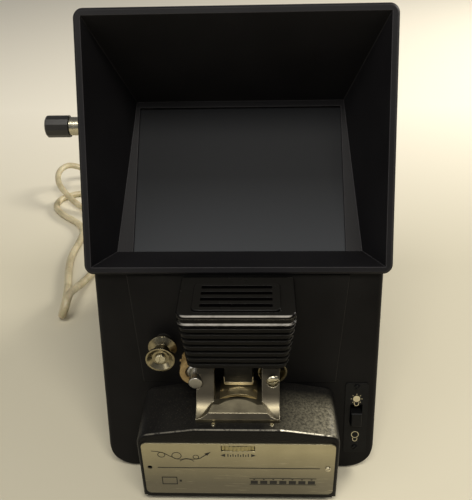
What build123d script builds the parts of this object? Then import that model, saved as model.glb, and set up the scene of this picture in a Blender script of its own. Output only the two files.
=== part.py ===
from build123d import *
from math import atan2, cos, degrees, pi, radians, sin, sqrt, tan
import os

# A table-top viewer for 8 mm cine film, in millimetres.
# +X is to the right as the user sees it, +Y goes to the back and +Z is up.
# The origin is on the table, in the middle of the width.

os.makedirs("parts", exist_ok=True)

# Housing
body_width = 155.0
wall = 2.5
foot_height = 4.0
skirt_height = 2.0
face_foot_y = -96.0
face_lean = 13.1
rear_y = 92.0
rear_wall_top = 97.0
roof_back_y = 14.0
roof_back_z = 235.0
roof_radius = 14.0
back_radius = 28.0
lower_corner_radius = 15.0
side_edge_radius = 3.0
face_panel_top = 119.0
face_panel_bottom = 108.0
face_panel_height = 0.8
seam = 0.3

# Hood and screen
lip_overhang = 3.75
lip_width = body_width + 2 * lip_overhang
lip_height = 135.6
lip_bottom_y = -71.8
lip_bottom_z = 122.1
lip_tilt = 23.0
lip_border = 3.8
lip_radius = 5.0
lip_edge = 1.2
hood_frame_depth = 18.0
hood_inset = 4.2
funnel_wall = 1.6
screen_center_y = -9.0
screen_center_z = 148.4
screen_tilt = 46.8
bezel_thickness = 2.0
bezel_side_gap = 7.9
bezel_bottom_width = body_width - 2 * bezel_side_gap
bezel_taper = 7.1
bezel_top_width = bezel_bottom_width - 2 * bezel_taper
bezel_step = 2.0
screen_width = bezel_top_width - 2 * bezel_step
screen_height = 90.0
screen_overlap = 4.0
screen_thickness = 3.0
bezel_margin = 4.0
bezel_flange = 11.0
screen_frame_thickness = 1.5
screen_screw_x = 50.0
screen_screw_radius = 1.5

# Film path
film_y = -87.7
film_pitch = 3.81
film_width = 8.0
roller_flange_radius = 7.85
roller_neck_radius = 4.2
roller_length = 11.0
roller_rim = 1.1
roller_dish = 1.9
pin_radius = 1.5
running_clearance = 0.05
end_play = 0.3
left_roller_x = -41.5
left_roller_z = 81.5
right_roller_x = 18.5
right_roller_z = 73.0
boss_radius = 4.5
sprocket_x = -22.5
sprocket_z = 72.3
sprocket_teeth = 15
sprocket_tooth_height = 0.9
button_radius = 3.7
button_front_y = -101.4
button_thickness = 1.8
hub_radius = 2.7
cup_rim_radius = 5.8
bush_radius = 3.2

# Gears from the sprocket to the prism
gear_module = 0.75
sprocket_gear_teeth = 60
pinion_teeth = 16
gear_width = 3.0
gear_y = -68.0
gear_backlash = 0.12
bracket_y = -60.0
bracket_thickness = 2.0
pillar_radius = 2.5
pillar_side = 27.5
pillar_left_drop = 10.5
pillar_top_left = 20.0
pillar_top_rise = 21.0
pillar_right_rise = 14.0
pillar_low_side = 13.0
pillar_low_drop = 2.0
prism_side = 7.2
prism_length = 10.0
prism_cup = 2.0

# Nose and front plate
nose_width = 107.4
nose_front_y = -119.2
nose_top_z = 56.7
nose_flat_half = 23.4
nose_side_z = 51.9
nose_wall = 2.5
nose_edge = 1.4
nose_opening_half = 44.0
nose_opening_top = 50.0
inner_screw_radius = 1.2
inner_screw_head = 1.6
plate_width = 103.0
plate_top_z = 47.4
plate_bottom_z = 7.6
plate_thickness = 0.8
plate_radius = 3.0
plate_screw_x = 48.0
plate_screw_z = 28.7
plate_screw_radius = 1.3
focus_window_width = 18.0
focus_window_bottom = 41.7
focus_window_top = 45.9

# Gate
casting_half = 22.1
casting_front_y = -114.0
casting_back_y = -84.2
casting_floor = 1.4
casting_foot = 2.4
wing_inner = 12.8
wing_bend_y = -103.0
wing_bend_rise = 7.9
wing_back_y = -94.0
wing_top_z = 77.5
apron_bend_y = -112.0
apron_bend_z = 61.8
apron_bend_half = 15.6
apron_shoulder_z = 63.3
apron_shoulder_half = 13.4
apron_arch_half = 10.0
apron_arch_rise = 1.0
apron_rim_y = -104.2
apron_back_y = -103.2
gate_screw_left_x = -12.7
gate_screw_right_x = 17.9
gate_screw_radius = 1.3
shoe_radius = 16.4
shoe_top_z = 61.7
shoe_half = 10.2
shoe_front_y = -98.0
shoe_thickness = 1.6
aperture_width = 5.2
aperture_depth = 4.0
block_half = 7.6
block_depth = 8.0
block_top_z = 82.0
pressure_shoe_z = 62.4
pressure_shoe_thickness = 2.2
pressure_shoe_wall = 0.5
guide_clearance = 0.3
guide_width = 1.6
light_bore_radius = 2.9

# Lamp house
lamp_front_y = -103.0
lamp_top_z = 118.6
lamp_lip_width = 60.4
lamp_lip_height = 6.9
lamp_bottom_z = 84.2
lamp_bottom_width = 53.1
lamp_shoulder_width = 60.0
lamp_front_step = 0.6
lamp_wall = 2.0
lamp_corner = 5.0
lip_bead = 1.7
lip_channel = 0.8
fin_count = 7
fin_pitch = 3.9
fin_depth = 1.3
fin_thickness = 2.1
lamp_panel_width = 44.8
lamp_panel_height = 1.4
lamp_panel_depth = 24.0
slot_length = 36.5
slot_width = 2.6
slot_pitch = 5.2
slot_count = 4
lamp_z = 101.5
bulb_radius = 7.5
socket_radius = 6.5
condenser_radius = 5.8
chassis_half = 20.0
chassis_thickness = 1.5
chassis_top_z = 113.0
shelf_z = 88.0
sleeve_wall = 1.6
sleeve_length = 9.0
neck_radius = 4.8
neck_depth = 5.0
socket_front_y = -81.5

# Lens
barrel_radius = 8.0
barrel_bore = 5.6
barrel_length = 16.0
barrel_bottom_z = 30.0
wheel_reach = 0.5
wheel_thickness = 3.2
wheel_z = 43.8
wheel_knurls = 96
wheel_knurl_depth = 0.5
mount_top_z = 33.0
mount_half = 25.0
mount_thickness = 3.0
mount_foot = 2.0

# Mirrors
base_mirror_z = 19.0
base_mirror_width = 24.0
base_mirror_length = 26.0
mirror_glass = 2.0
screen_throw = 110.0
rear_mirror_width = 76.0
rear_mirror_height = 58.0
cradle_thickness = 1.5
pivot_radius = 2.0
pivot_behind = 5.0
stand_thickness = 2.5
stand_depth = 16.0
framing_y = -4.0
framing_z = 178.9
crank_throw = 5.0
crank_radius = 7.5
crank_thickness = 1.8
arm_thickness = 1.5
arm_width = 8.0
arm_hub_radius = 5.0
arm_slot_play = 0.5
arm_inset = 6.4
arm_x = arm_inset - body_width / 2
crank_pin_radius = 1.5
crank_inset = 4.5
crank_x = crank_inset - body_width / 2
framing_swing = 60.0
framing_bush_end = 96.4
framing_bush_radius = 5.2
knob_length = 13.4
knob_radius = 6.3

# Switch
switch_inset = 11.2
switch_x = body_width / 2 - switch_inset
switch_z = 34.4
switch_plate_width = 13.0
switch_plate_bottom = 11.6
switch_plate_top = 56.0
switch_plate_thickness = 0.5
switch_knob_width = 6.2
switch_knob_height = 8.6
switch_knob_proud = 3.0
switch_travel = 4.0
switch_screw_low = 15.2
switch_screw_high = 53.8
switch_screw_radius = 0.8
switch_body_depth = 12.0
switch_stem = 3.0

# Base, back and transformer
base_thickness = 1.4
skirt_width = 3.0
base_corner = 3.0
foot_radius = 6.5
back_cover_left = -40.0
back_cover_right = 58.0
back_cover_bottom = 14.0
back_cover_top = 84.0
back_cover_radius = 4.0
back_cover_thickness = 1.5
cover_border = 5.0
louvre_count = 6
louvre_pitch = 9.0
louvre_length = 60.0
louvre_width = 3.0
case_screw_radius = 1.2
case_screw_head = 1.6
base_screw_inset = 34.0
core_inset = 41.5
core_x = body_width / 2 - core_inset
core_y = -24.0
core_stack = 20.0
core_depth = 40.0
core_height = 33.0

# Mains cord
cord_radius = 3.0
gland_x = -58.0
gland_z = 80.0
gland_length = 30.0
gland_neck = 5.0
gland_flange = 6.8
coil_center_x = 30.0
coil_center_y = 156.0
coil_start_radius = 36.9
coil_pitch = 6.75
quarters_in = 7
quarters_back = 2
quarters_out = 9
tail_length = 36.0
plug_length = 37.0
plug_width = 35.0
plug_height = 14.0
plug_waist = 20.0
pin_spacing = 19.0
plug_pin_radius = 2.0
plug_pin_length = 19.0


def tilted(y, z, lean):
    """A plane across the object that faces forward and leans back by an angle from upright."""
    return Plane(origin=(0, y, z), x_dir=(1, 0, 0), z_dir=(0, -cos(radians(lean)), sin(radians(lean))))


def front_view(y):
    """A plane seen from the front, at a depth; extruding goes forward."""
    return Plane.XZ.offset(-y)


def face_y(z):
    """The housing's front face at a height."""
    return face_foot_y + tan(radians(face_lean)) * z


face_plane = tilted(face_foot_y, 0, face_lean)
panel_plane = face_plane.offset(face_panel_height)
lip_middle_y = lip_bottom_y + sin(radians(lip_tilt)) * lip_height / 2
lip_middle_z = lip_bottom_z + cos(radians(lip_tilt)) * lip_height / 2
lip_plane = tilted(lip_middle_y, lip_middle_z, lip_tilt)
opening_plane = lip_plane.offset(-hood_frame_depth)
screen_plane = tilted(screen_center_y, screen_center_z, screen_tilt)
glass_plane = screen_plane.offset(-bezel_thickness)
screen_frame_plane = glass_plane.offset(-screen_thickness)


def on_plane(plane, across, up, out=0.0):
    """A point given in a plane's own directions."""
    return plane.from_local_coords(Vector(across, up, out))


# Housing
step_back = on_plane(opening_plane, 0, -lip_height / 2)
step_front = on_plane(lip_plane, 0, -lip_height / 2)
roof_front = on_plane(opening_plane, 0, lip_height / 2 - hood_inset)
ledge_slope = (step_front.Z - step_back.Z) / (step_front.Y - step_back.Y)
ledge_y = face_foot_y
for attempt in range(6):
    ledge_z = step_back.Z + ledge_slope * (ledge_y - step_back.Y)
    ledge_y = face_y(ledge_z)


with BuildSketch(Plane.YZ) as side_view:
    with BuildLine():
        FilletPolyline(
            (face_y(skirt_height), skirt_height),
            (ledge_y, ledge_z),
            (step_back.Y, step_back.Z),
            (roof_front.Y, roof_front.Z),
            (roof_back_y, roof_back_z),
            (rear_y, rear_wall_top),
            (rear_y, skirt_height),
            radius=[0, 0, 0, 0, roof_radius, back_radius, 0],
            close=True,
        )
    make_face()

with BuildSketch(Plane.YZ) as inner_side_view:
    offset(side_view.sketch_local, amount=-wall, kind=Kind.INTERSECTION)


def front_outline(inset):
    """The housing's outline seen from the front, rounded at its two lower corners."""
    half = body_width / 2 - inset
    corner = lower_corner_radius - inset
    tall = roof_back_z + body_width
    bottom = skirt_height + inset
    with BuildSketch(Plane.XZ) as outline:
        with BuildLine():
            FilletPolyline(
                (-half, bottom),
                (half, bottom),
                (half, tall),
                (-half, tall),
                radius=[corner, corner, 0, 0],
                close=True,
            )
        make_face()
    return outline.sketch


with BuildPart() as cavity:
    extrude(inner_side_view.sketch, amount=body_width, both=True)
    extrude(front_outline(wall), amount=2 * rear_y, both=True, mode=Mode.INTERSECT)
    split(bisect_by=Plane.XY.offset(foot_height + wall), keep=Keep.TOP)

nose_boss_x = (nose_opening_half + nose_width / 2 - nose_wall) / 2 - 0.2
nose_boss_radius = (nose_width / 2 - nose_opening_half) / 2 - 1.4
nose_boss_heights = (plate_bottom_z + 8, nose_opening_top - 8)
nose_bosses = [(side * nose_boss_x, height) for side in (-1, 1) for height in nose_boss_heights]
mount_screw_places = [(side * (mount_half + 4), film_y + along) for side in (-1, 1) for along in (-4, 6)]
base_top_z = foot_height
base_bottom_z = foot_height - base_thickness
floor_half = nose_opening_half + 4
screw_line = (floor_half + body_width / 2 - lower_corner_radius) / 2
base_screw_rows = (face_foot_y + base_screw_inset, rear_y - base_screw_inset)
base_screws = [(side * screw_line, along) for side in (-1, 1) for along in base_screw_rows]
base_plate_width = body_width - 2 * lower_corner_radius - 2 * skirt_width
base_plate_depth = rear_y - face_foot_y - 2 * skirt_width - 2
base_plate_y = (rear_y + face_foot_y) / 2
nose_plate_half = nose_width / 2 - 1.2
nose_plate_depth = face_foot_y - nose_front_y + 6
nose_plate_y = (nose_front_y + face_foot_y) / 2 + 4
cover_width = back_cover_right - back_cover_left
cover_height = back_cover_top - back_cover_bottom
cover_x = (back_cover_left + back_cover_right) / 2
cover_z = (back_cover_bottom + back_cover_top) / 2
back_screws = [
    (cover_x + side * (cover_width + cover_border) / 2, cover_z + up * (cover_height + cover_border) / 2)
    for side in (-1, 1)
    for up in (-1, 1)
]
prism_x = 0.0
gear_distance = gear_module * (sprocket_gear_teeth + pinion_teeth) / 2
prism_z = sprocket_z - sqrt(gear_distance**2 - (sprocket_x - prism_x) ** 2)
cup_radius = prism_side / sqrt(2) + 0.3
roller_back_y = film_y + roller_length / 2
boss_front_y = roller_back_y + end_play
switch_local = Plane(
    origin=(switch_x, face_y(switch_z), switch_z), x_dir=(1, 0, 0), z_dir=face_plane.z_dir
)
plate_local_height = (switch_plate_top - switch_plate_bottom) / cos(radians(face_lean))
plate_local_middle = ((switch_plate_top + switch_plate_bottom) / 2 - switch_z) / cos(radians(face_lean))

with BuildPart() as housing:
    extrude(side_view.sketch, amount=body_width / 2, both=True)
    rounded = [
        edge
        for edge in housing.edges()
        if abs(abs(edge.center().X) - body_width / 2) < 0.01
        and edge.center().Z > foot_height + 1
        and abs(opening_plane.to_local_coords(edge.center()).Z) > 0.1
        and abs(edge.center().Y - (ledge_y + step_back.Y) / 2) > 1
    ]
    fillet(rounded, side_edge_radius)
    extrude(front_outline(0), amount=2 * rear_y, both=True, mode=Mode.INTERSECT)
    # the centre of the face stands proud between two ridges
    with BuildSketch(face_plane):
        with BuildLine():
            Polyline(
                (-face_panel_bottom / 2, (nose_top_z + seam) / cos(radians(face_lean))),
                (face_panel_bottom / 2, (nose_top_z + seam) / cos(radians(face_lean))),
                (face_panel_top / 2, ledge_z / cos(radians(face_lean)) - 1),
                (-face_panel_top / 2, ledge_z / cos(radians(face_lean)) - 1),
                close=True,
            )
        make_face()
    extrude(amount=face_panel_height)
    # seats for the two film rollers
    with BuildSketch(front_view(boss_front_y)):
        with Locations((left_roller_x, left_roller_z), (right_roller_x, right_roller_z)):
            Circle(boss_radius)
    extrude(amount=-(face_y(left_roller_z) + wall - boss_front_y))
    add(cavity.part, mode=Mode.SUBTRACT)
    # the hood's funnel goes in here
    with BuildSketch(opening_plane):
        with Locations((0, -hood_inset / 2)):
            Rectangle(body_width - 2 * wall, lip_height - hood_inset - 2 * lip_border)
    extrude(amount=-2 * wall, both=True, mode=Mode.SUBTRACT)
    # the way from the nose into the body, and the floor's opening under the base plate
    with BuildSketch(front_view(face_foot_y - wall)):
        with Locations((0, nose_opening_top / 2)):
            Rectangle(2 * nose_opening_half, nose_opening_top)
    extrude(amount=-(tan(radians(face_lean)) * nose_opening_top + 3 * wall), mode=Mode.SUBTRACT)
    with BuildSketch(Plane.XY):
        with Locations((0, (rear_y + face_foot_y) / 2 + wall)):
            Rectangle(2 * floor_half, rear_y - face_foot_y - 6 * wall)
        with Locations(*base_screws):
            Circle(case_screw_radius)
    extrude(amount=foot_height + wall + 1, mode=Mode.SUBTRACT)
    # the recess that the base plate lies in, with the skirt left round it
    with BuildSketch(Plane.XY.offset(skirt_height)):
        with Locations((0, base_plate_y)):
            Rectangle(base_plate_width + 2 * seam, base_plate_depth + 2 * seam)
        with Locations((0, nose_plate_y)):
            Rectangle(2 * nose_plate_half + 2 * seam, nose_plate_depth + 2 * seam)
    extrude(amount=foot_height - skirt_height, mode=Mode.SUBTRACT)
    # holes in the face for the sprocket bush, the prism, the pins and the lamp leads
    with BuildSketch(front_view(casting_front_y)):
        with Locations((sprocket_x, sprocket_z)):
            Circle(bush_radius)
        with Locations((prism_x, prism_z)):
            Circle(cup_radius + 0.8)
        with Locations((left_roller_x, left_roller_z), (right_roller_x, right_roller_z)):
            Circle(pin_radius)
        with Locations((0, lamp_z)):
            Circle(neck_radius - 1)
        with Locations(*nose_bosses):
            Circle(inner_screw_radius)
    extrude(amount=-(gear_y - casting_front_y), mode=Mode.SUBTRACT)
    # the switch's slot and its plate's screws
    with BuildSketch(switch_local):
        with Locations((0, switch_travel / 2)):
            Rectangle(switch_knob_width + 2 * seam, switch_knob_height + switch_travel + 2 * seam)
        for height in (switch_screw_low, switch_screw_high):
            with Locations((0, (height - switch_z) / cos(radians(face_lean)))):
                Circle(switch_screw_radius)
    extrude(amount=2 * wall, both=True, mode=Mode.SUBTRACT)
    # the framing bush in the left side, the back cover's opening and the cord's hole
    with BuildSketch(Plane.YZ.offset(-body_width / 2 - 1)):
        with Locations((framing_y, framing_z)):
            Circle(framing_bush_radius)
    extrude(amount=wall + 2, mode=Mode.SUBTRACT)
    with BuildSketch(front_view(rear_y + 1)):
        with Locations((cover_x, cover_z)):
            Rectangle(cover_width, cover_height)
        with Locations((gland_x, gland_z)):
            Circle(gland_neck)
        with Locations(*back_screws):
            Circle(case_screw_radius)
    extrude(amount=wall + 2, mode=Mode.SUBTRACT)
housing.part.label = "housing"
export_step(housing.part, "parts/housing.step")
print("housing", housing.part.is_valid, len(housing.solids()))

# Hood: the lip and its frame, the funnel down to the screen, and the flange that holds the screen
bezel_low = -screen_height / 2
bezel_high = screen_height / 2 + bezel_margin


def bezel_half(up):
    """Half the funnel's width where it meets the screen's plane, at a height along it."""
    share = (up - bezel_low) / (bezel_high - bezel_low)
    return (bezel_bottom_width + (bezel_top_width - bezel_bottom_width) * share) / 2


def bezel_outline(low, high, grow):
    """The funnel's foot on the screen's plane, or the flange round it."""
    with BuildSketch(screen_plane) as outline:
        with BuildLine():
            Polyline(
                (-bezel_half(low) - grow, low),
                (bezel_half(low) + grow, low),
                (bezel_half(high) + grow, high),
                (-bezel_half(high) - grow, high),
                close=True,
            )
        make_face()
    return outline.sketch


def lip_opening(grow):
    """The clear opening inside the lip."""
    with BuildSketch(lip_plane) as outline:
        Rectangle(lip_width - 2 * lip_border + 2 * grow, lip_height - 2 * lip_border + 2 * grow)
    return outline.sketch


flange_high = screen_height / 2 + bezel_flange
screw_up = (screen_height / 2 + screen_overlap + flange_high) / 2

with BuildPart() as hood:
    with BuildSketch(lip_plane):
        RectangleRounded(lip_width, lip_height, lip_radius)
    extrude(amount=-hood_frame_depth)
    funnel_outside = bezel_outline(bezel_low - funnel_wall, bezel_high + funnel_wall, funnel_wall)
    loft(sections=[lip_opening(funnel_wall), funnel_outside], ruled=True)
    extrude(bezel_outline(-flange_high, flange_high, funnel_wall), amount=-bezel_thickness)
    loft(sections=[lip_opening(0), bezel_outline(bezel_low, bezel_high, 0)], ruled=True, mode=Mode.SUBTRACT)
    with BuildSketch(screen_plane):
        Rectangle(screen_width, screen_height)
    extrude(amount=-2 * bezel_thickness, mode=Mode.SUBTRACT)
    # posts that take the screen frame's screws
    with BuildSketch(glass_plane):
        with GridLocations(2 * screen_screw_x, 2 * screw_up, 2, 2):
            Circle(2.6)
    extrude(amount=-screen_thickness)
    with BuildSketch(screen_frame_plane):
        with GridLocations(2 * screen_screw_x, 2 * screw_up, 2, 2):
            Circle(screen_screw_radius - 0.3)
    extrude(amount=screen_thickness, mode=Mode.SUBTRACT)
    lip_face = hood.faces().sort_by(Axis((0, 0, 0), lip_plane.z_dir))[-1]
    chamfer(lip_face.outer_wire().edges(), lip_edge)
hood.part.label = "hood"
export_step(hood.part, "parts/hood.step")
print("hood", hood.part.is_valid, len(hood.solids()))

# Screen, a ground plate held behind the flange by a sheet frame
glass_width = screen_width + 2 * screen_overlap
glass_height = screen_height + 2 * screen_overlap
with BuildPart() as screen:
    with BuildSketch(glass_plane):
        Rectangle(glass_width, glass_height)
    extrude(amount=-screen_thickness)
    chamfer(screen.edges().filter_by(Axis((0, 0, 0), glass_plane.z_dir)), 1)
screen.part.label = "screen"
export_step(screen.part, "parts/screen.step")

with BuildPart() as screen_frame:
    with BuildSketch(screen_frame_plane):
        RectangleRounded(glass_width + 2, 2 * flange_high, 3)
        Rectangle(screen_width - 4, screen_height - 4, mode=Mode.SUBTRACT)
        with GridLocations(2 * screen_screw_x, 2 * screw_up, 2, 2):
            Circle(screen_screw_radius, mode=Mode.SUBTRACT)
    extrude(amount=-screen_frame_thickness)
screen_frame.part.label = "screen_frame"
export_step(screen_frame.part, "parts/screen_frame.step")

with BuildPart() as screen_frame_screws:
    with BuildSketch(screen_frame_plane.offset(-screen_frame_thickness)):
        with GridLocations(2 * screen_screw_x, 2 * screw_up, 2, 2):
            Circle(2 * screen_screw_radius)
    extrude(amount=-1.6)
    with BuildSketch(screen_frame_plane.offset(-screen_frame_thickness)):
        with GridLocations(2 * screen_screw_x, 2 * screw_up, 2, 2):
            Circle(screen_screw_radius - 0.3)
    extrude(amount=screen_frame_thickness + screen_thickness)
screen_frame_screws.part.label = "screen_frame_screws"
export_step(screen_frame_screws.part, "parts/screen_frame_screws.step")

# Nose, the shell in front that carries the gate
nose_opening = 11.0


def nose_outline(inset, bottom):
    """The nose seen from the front: a flat crest, falling shoulders and upright sides."""
    half = nose_width / 2 - inset
    with BuildSketch(front_view(nose_front_y)) as outline:
        with BuildLine():
            FilletPolyline(
                (-half, bottom),
                (-half, nose_side_z - inset),
                (-nose_flat_half, nose_top_z - inset),
                (nose_flat_half, nose_top_z - inset),
                (half, nose_side_z - inset),
                (half, bottom),
                radius=[0, 7 - inset, 24, 24, 7 - inset, 0],
                close=True,
            )
        make_face()
    return outline.sketch


wheel_radius = film_y - (nose_front_y - plate_thickness) + wheel_reach
wheel_slot_half = sqrt(wheel_radius**2 - (film_y - nose_front_y - nose_wall) ** 2) + 2
nose_back = face_y(nose_top_z)

with BuildPart() as nose:
    extrude(nose_outline(0, foot_height), amount=nose_front_y - nose_back - wall)
    fillet(nose.faces().sort_by(Axis.Y)[0].outer_wire().edges(), nose_edge)
    extrude(nose_outline(nose_wall, 0), amount=nose_front_y - nose_back - 2 * wall, mode=Mode.SUBTRACT)
    extrude(nose_outline(nose_wall - seam, foot_height), amount=-nose_wall)
    # posts that the screws from inside the body go into
    with BuildSketch(front_view(nose_front_y + nose_wall)):
        with Locations(*nose_bosses):
            Circle(nose_boss_radius)
    extrude(amount=nose_front_y - nose_back)
    split(bisect_by=face_plane, keep=Keep.TOP)
    with BuildSketch(front_view(face_foot_y + 4 * wall)):
        with Locations(*nose_bosses):
            Circle(inner_screw_radius)
    extrude(amount=face_foot_y + 4 * wall - nose_front_y - 2 * nose_wall, mode=Mode.SUBTRACT)
    # the wheel's slot, the plate's screw holes and the opening under the gate
    with BuildSketch(front_view(nose_front_y)):
        with Locations((0, wheel_z)):
            Rectangle(2 * wheel_slot_half, wheel_thickness + 2 * seam)
        with Locations((-plate_screw_x, plate_screw_z), (plate_screw_x, plate_screw_z)):
            Circle(plate_screw_radius)
    extrude(amount=-nose_wall, mode=Mode.SUBTRACT)
    with BuildSketch(Plane.XY.offset(nose_top_z + 1)):
        with Locations((0, (shoe_front_y + 2 + nose_back) / 2)):
            Rectangle(2 * nose_opening, nose_back - shoe_front_y - 2 + 4)
    extrude(amount=-nose_wall - 2, mode=Mode.SUBTRACT)
nose.part.label = "nose"
export_step(nose.part, "parts/nose.step")
print("nose", nose.part.is_valid, len(nose.solids()), nose.part.bounding_box())

# Screws of one kind, four through the face into the nose and four in the lens mount's feet
with BuildPart() as inner_screws:
    for across, height in nose_bosses:
        inner_face = face_y(height) + wall / cos(radians(face_lean)) + 0.5
        with BuildSketch(front_view(inner_face)):
            with Locations((across, height)):
                Circle(inner_screw_radius + 1)
        extrude(amount=-inner_screw_head)
        with BuildSketch(front_view(inner_face)):
            with Locations((across, height)):
                Circle(inner_screw_radius)
        extrude(amount=4 * wall)
    with BuildSketch(Plane.XY.offset(foot_height + mount_foot)):
        with Locations(*mount_screw_places):
            Circle(inner_screw_radius + 1)
    extrude(amount=inner_screw_head)
    with BuildSketch(Plane.XY.offset(base_bottom_z)):
        with Locations(*mount_screw_places):
            Circle(inner_screw_radius)
    extrude(amount=base_thickness + mount_foot)
inner_screws.part.label = "inner_screws"
export_step(inner_screws.part, "parts/inner_screws.step")

# Front plate, a satin sheet with a window for the focus wheel
plate_middle_z = (plate_top_z + plate_bottom_z) / 2
with BuildPart() as front_plate:
    with BuildSketch(front_view(nose_front_y)):
        with Locations((0, plate_middle_z)):
            RectangleRounded(plate_width, plate_top_z - plate_bottom_z, plate_radius)
        with Locations((0, (focus_window_bottom + focus_window_top) / 2)):
            Rectangle(focus_window_width, focus_window_top - focus_window_bottom, mode=Mode.SUBTRACT)
        with Locations((-plate_screw_x, plate_screw_z), (plate_screw_x, plate_screw_z)):
            Circle(plate_screw_radius, mode=Mode.SUBTRACT)
    extrude(amount=plate_thickness)
    with BuildSketch(front_view(nose_front_y - plate_thickness)):
        with Locations((0, plate_screw_z)):
            Rectangle(2 * nose_opening_half, 0.5)
    extrude(amount=-plate_thickness / 3, mode=Mode.SUBTRACT)
front_plate.part.label = "front_plate"
export_step(front_plate.part, "parts/front_plate.step")

with BuildPart() as front_plate_screw:
    with BuildSketch(front_view(nose_front_y - plate_thickness)):
        with Locations((plate_screw_x, plate_screw_z)):
            Circle(plate_screw_radius + 0.4)
    extrude(amount=0.7, taper=20)
    with BuildSketch(front_view(nose_front_y - plate_thickness)):
        with Locations((plate_screw_x, plate_screw_z)):
            Circle(plate_screw_radius)
    extrude(amount=-plate_thickness - nose_wall - 2)
    with BuildSketch(front_view(nose_front_y - plate_thickness - 0.7)):
        with Locations(Location((plate_screw_x, plate_screw_z), 30)):
            Rectangle(4, 0.5)
    extrude(amount=-0.4, mode=Mode.SUBTRACT)
front_plate_screw.part.label = "front_plate_screw"
export_step(front_plate_screw.part, "parts/front_plate_screw.step")

# Focus wheel, a knurled disc on the lens barrel whose rim shows in the window
with BuildPart() as focus_wheel:
    rim = []
    for step in range(2 * wheel_knurls):
        reach = wheel_radius - (step % 2) * wheel_knurl_depth
        turn = pi * step / wheel_knurls
        rim.append((reach * cos(turn), film_y + reach * sin(turn)))
    with BuildSketch(Plane.XY.offset(wheel_z - wheel_thickness / 2)):
        with BuildLine():
            Polyline(*rim, close=True)
        make_face()
        with Locations((0, film_y)):
            Circle(barrel_radius + running_clearance, mode=Mode.SUBTRACT)
        with Locations((0, film_y)):
            with PolarLocations(wheel_radius * 0.62, 6):
                Circle(wheel_radius * 0.17, mode=Mode.SUBTRACT)
    extrude(amount=wheel_thickness)
focus_wheel.part.label = "focus_wheel"
export_step(focus_wheel.part, "parts/focus_wheel.step")

# Lens barrel with its two glasses, and the mount that keeps it upright
key_width = 2.0
key_reach = 1.0
with BuildPart() as lens_barrel:
    with BuildSketch(Plane.XY.offset(barrel_bottom_z)):
        with Locations((0, film_y)):
            Circle(barrel_radius)
            Circle(barrel_bore, mode=Mode.SUBTRACT)
    extrude(amount=barrel_length)
    with BuildSketch(Plane.XY.offset(barrel_bottom_z)):
        with Locations((0, film_y + barrel_radius + key_reach / 2 - 0.5)):
            Rectangle(key_width, key_reach + 1)
        with Locations((0, film_y)):
            Circle(barrel_bore, mode=Mode.SUBTRACT)
    extrude(amount=barrel_length / 3)
lens_barrel.part.label = "lens_barrel"
export_step(lens_barrel.part, "parts/lens_barrel.step")

with BuildPart() as lens_glass:
    for middle in (barrel_bottom_z + 3.5, barrel_bottom_z + barrel_length - 3.5):
        with BuildSketch(Plane.YZ):
            with BuildLine():
                edge_low = (film_y + barrel_bore, middle - 0.8)
                edge_high = (film_y + barrel_bore, middle + 0.8)
                ThreePointArc((film_y - barrel_bore, middle - 0.8), (film_y, middle - 2.2), edge_low)
                Line(edge_low, edge_high)
                ThreePointArc(edge_high, (film_y, middle + 2.2), (film_y - barrel_bore, middle + 0.8))
                Line((film_y - barrel_bore, middle + 0.8), (film_y - barrel_bore, middle - 0.8))
            make_face()
            with Locations((film_y - barrel_bore, middle)):
                Rectangle(2 * barrel_bore, 3 * barrel_bore, mode=Mode.SUBTRACT)
        revolve(axis=Axis((0, film_y, 0), (0, 0, 1)), revolution_arc=360)
lens_glass.part.label = "lens_glass"
export_step(lens_glass.part, "parts/lens_glass.step")

mount_depth = 16.0
with BuildPart() as lens_mount:
    with BuildSketch(Plane.XY.offset(mount_top_z - mount_thickness)):
        with Locations((0, film_y + 1)):
            Rectangle(2 * mount_half, 26)
    extrude(amount=mount_thickness)
    with BuildSketch(Plane.XY.offset(mount_top_z)):
        with Locations((0, film_y)):
            Circle(barrel_radius + 4)
    extrude(amount=wheel_z - wheel_thickness / 2 - running_clearance - mount_top_z)
    with BuildSketch(Plane.XY.offset(foot_height)):
        with Locations((0, film_y + 1)):
            with GridLocations(2 * mount_half - mount_thickness, 0, 2, 1):
                Rectangle(mount_thickness, mount_depth)
    extrude(amount=mount_top_z - foot_height)
    with BuildSketch(Plane.XY.offset(foot_height)):
        with Locations((0, film_y + 1)):
            with GridLocations(2 * mount_half + 6, 0, 2, 1):
                Rectangle(8 + mount_thickness, mount_depth)
        with Locations(*mount_screw_places):
            Circle(inner_screw_radius, mode=Mode.SUBTRACT)
    extrude(amount=mount_foot)
    with BuildSketch(Plane.XY.offset(mount_top_z - mount_thickness)):
        with Locations((0, film_y)):
            Circle(barrel_radius + running_clearance)
        with Locations((0, film_y + barrel_radius + key_reach / 2)):
            Rectangle(key_width + 0.3, key_reach + 0.4)
    extrude(amount=wheel_z, mode=Mode.SUBTRACT)
lens_mount.part.label = "lens_mount"
export_step(lens_mount.part, "parts/lens_mount.step")

# Gate casting with a low apron in front and a rising wing on each side
casting_top = nose_top_z + casting_floor
head_radius = 3.4
head_height = 2.0
wing_bend_z = casting_top + wing_bend_rise
wing_slope = (wing_top_z - wing_bend_z) / (wing_back_y - 1 - wing_bend_y)
head_seat_y = wing_bend_y + (right_roller_z - wing_bend_z) / wing_slope - 0.5
button_back_y = button_front_y + button_thickness

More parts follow.
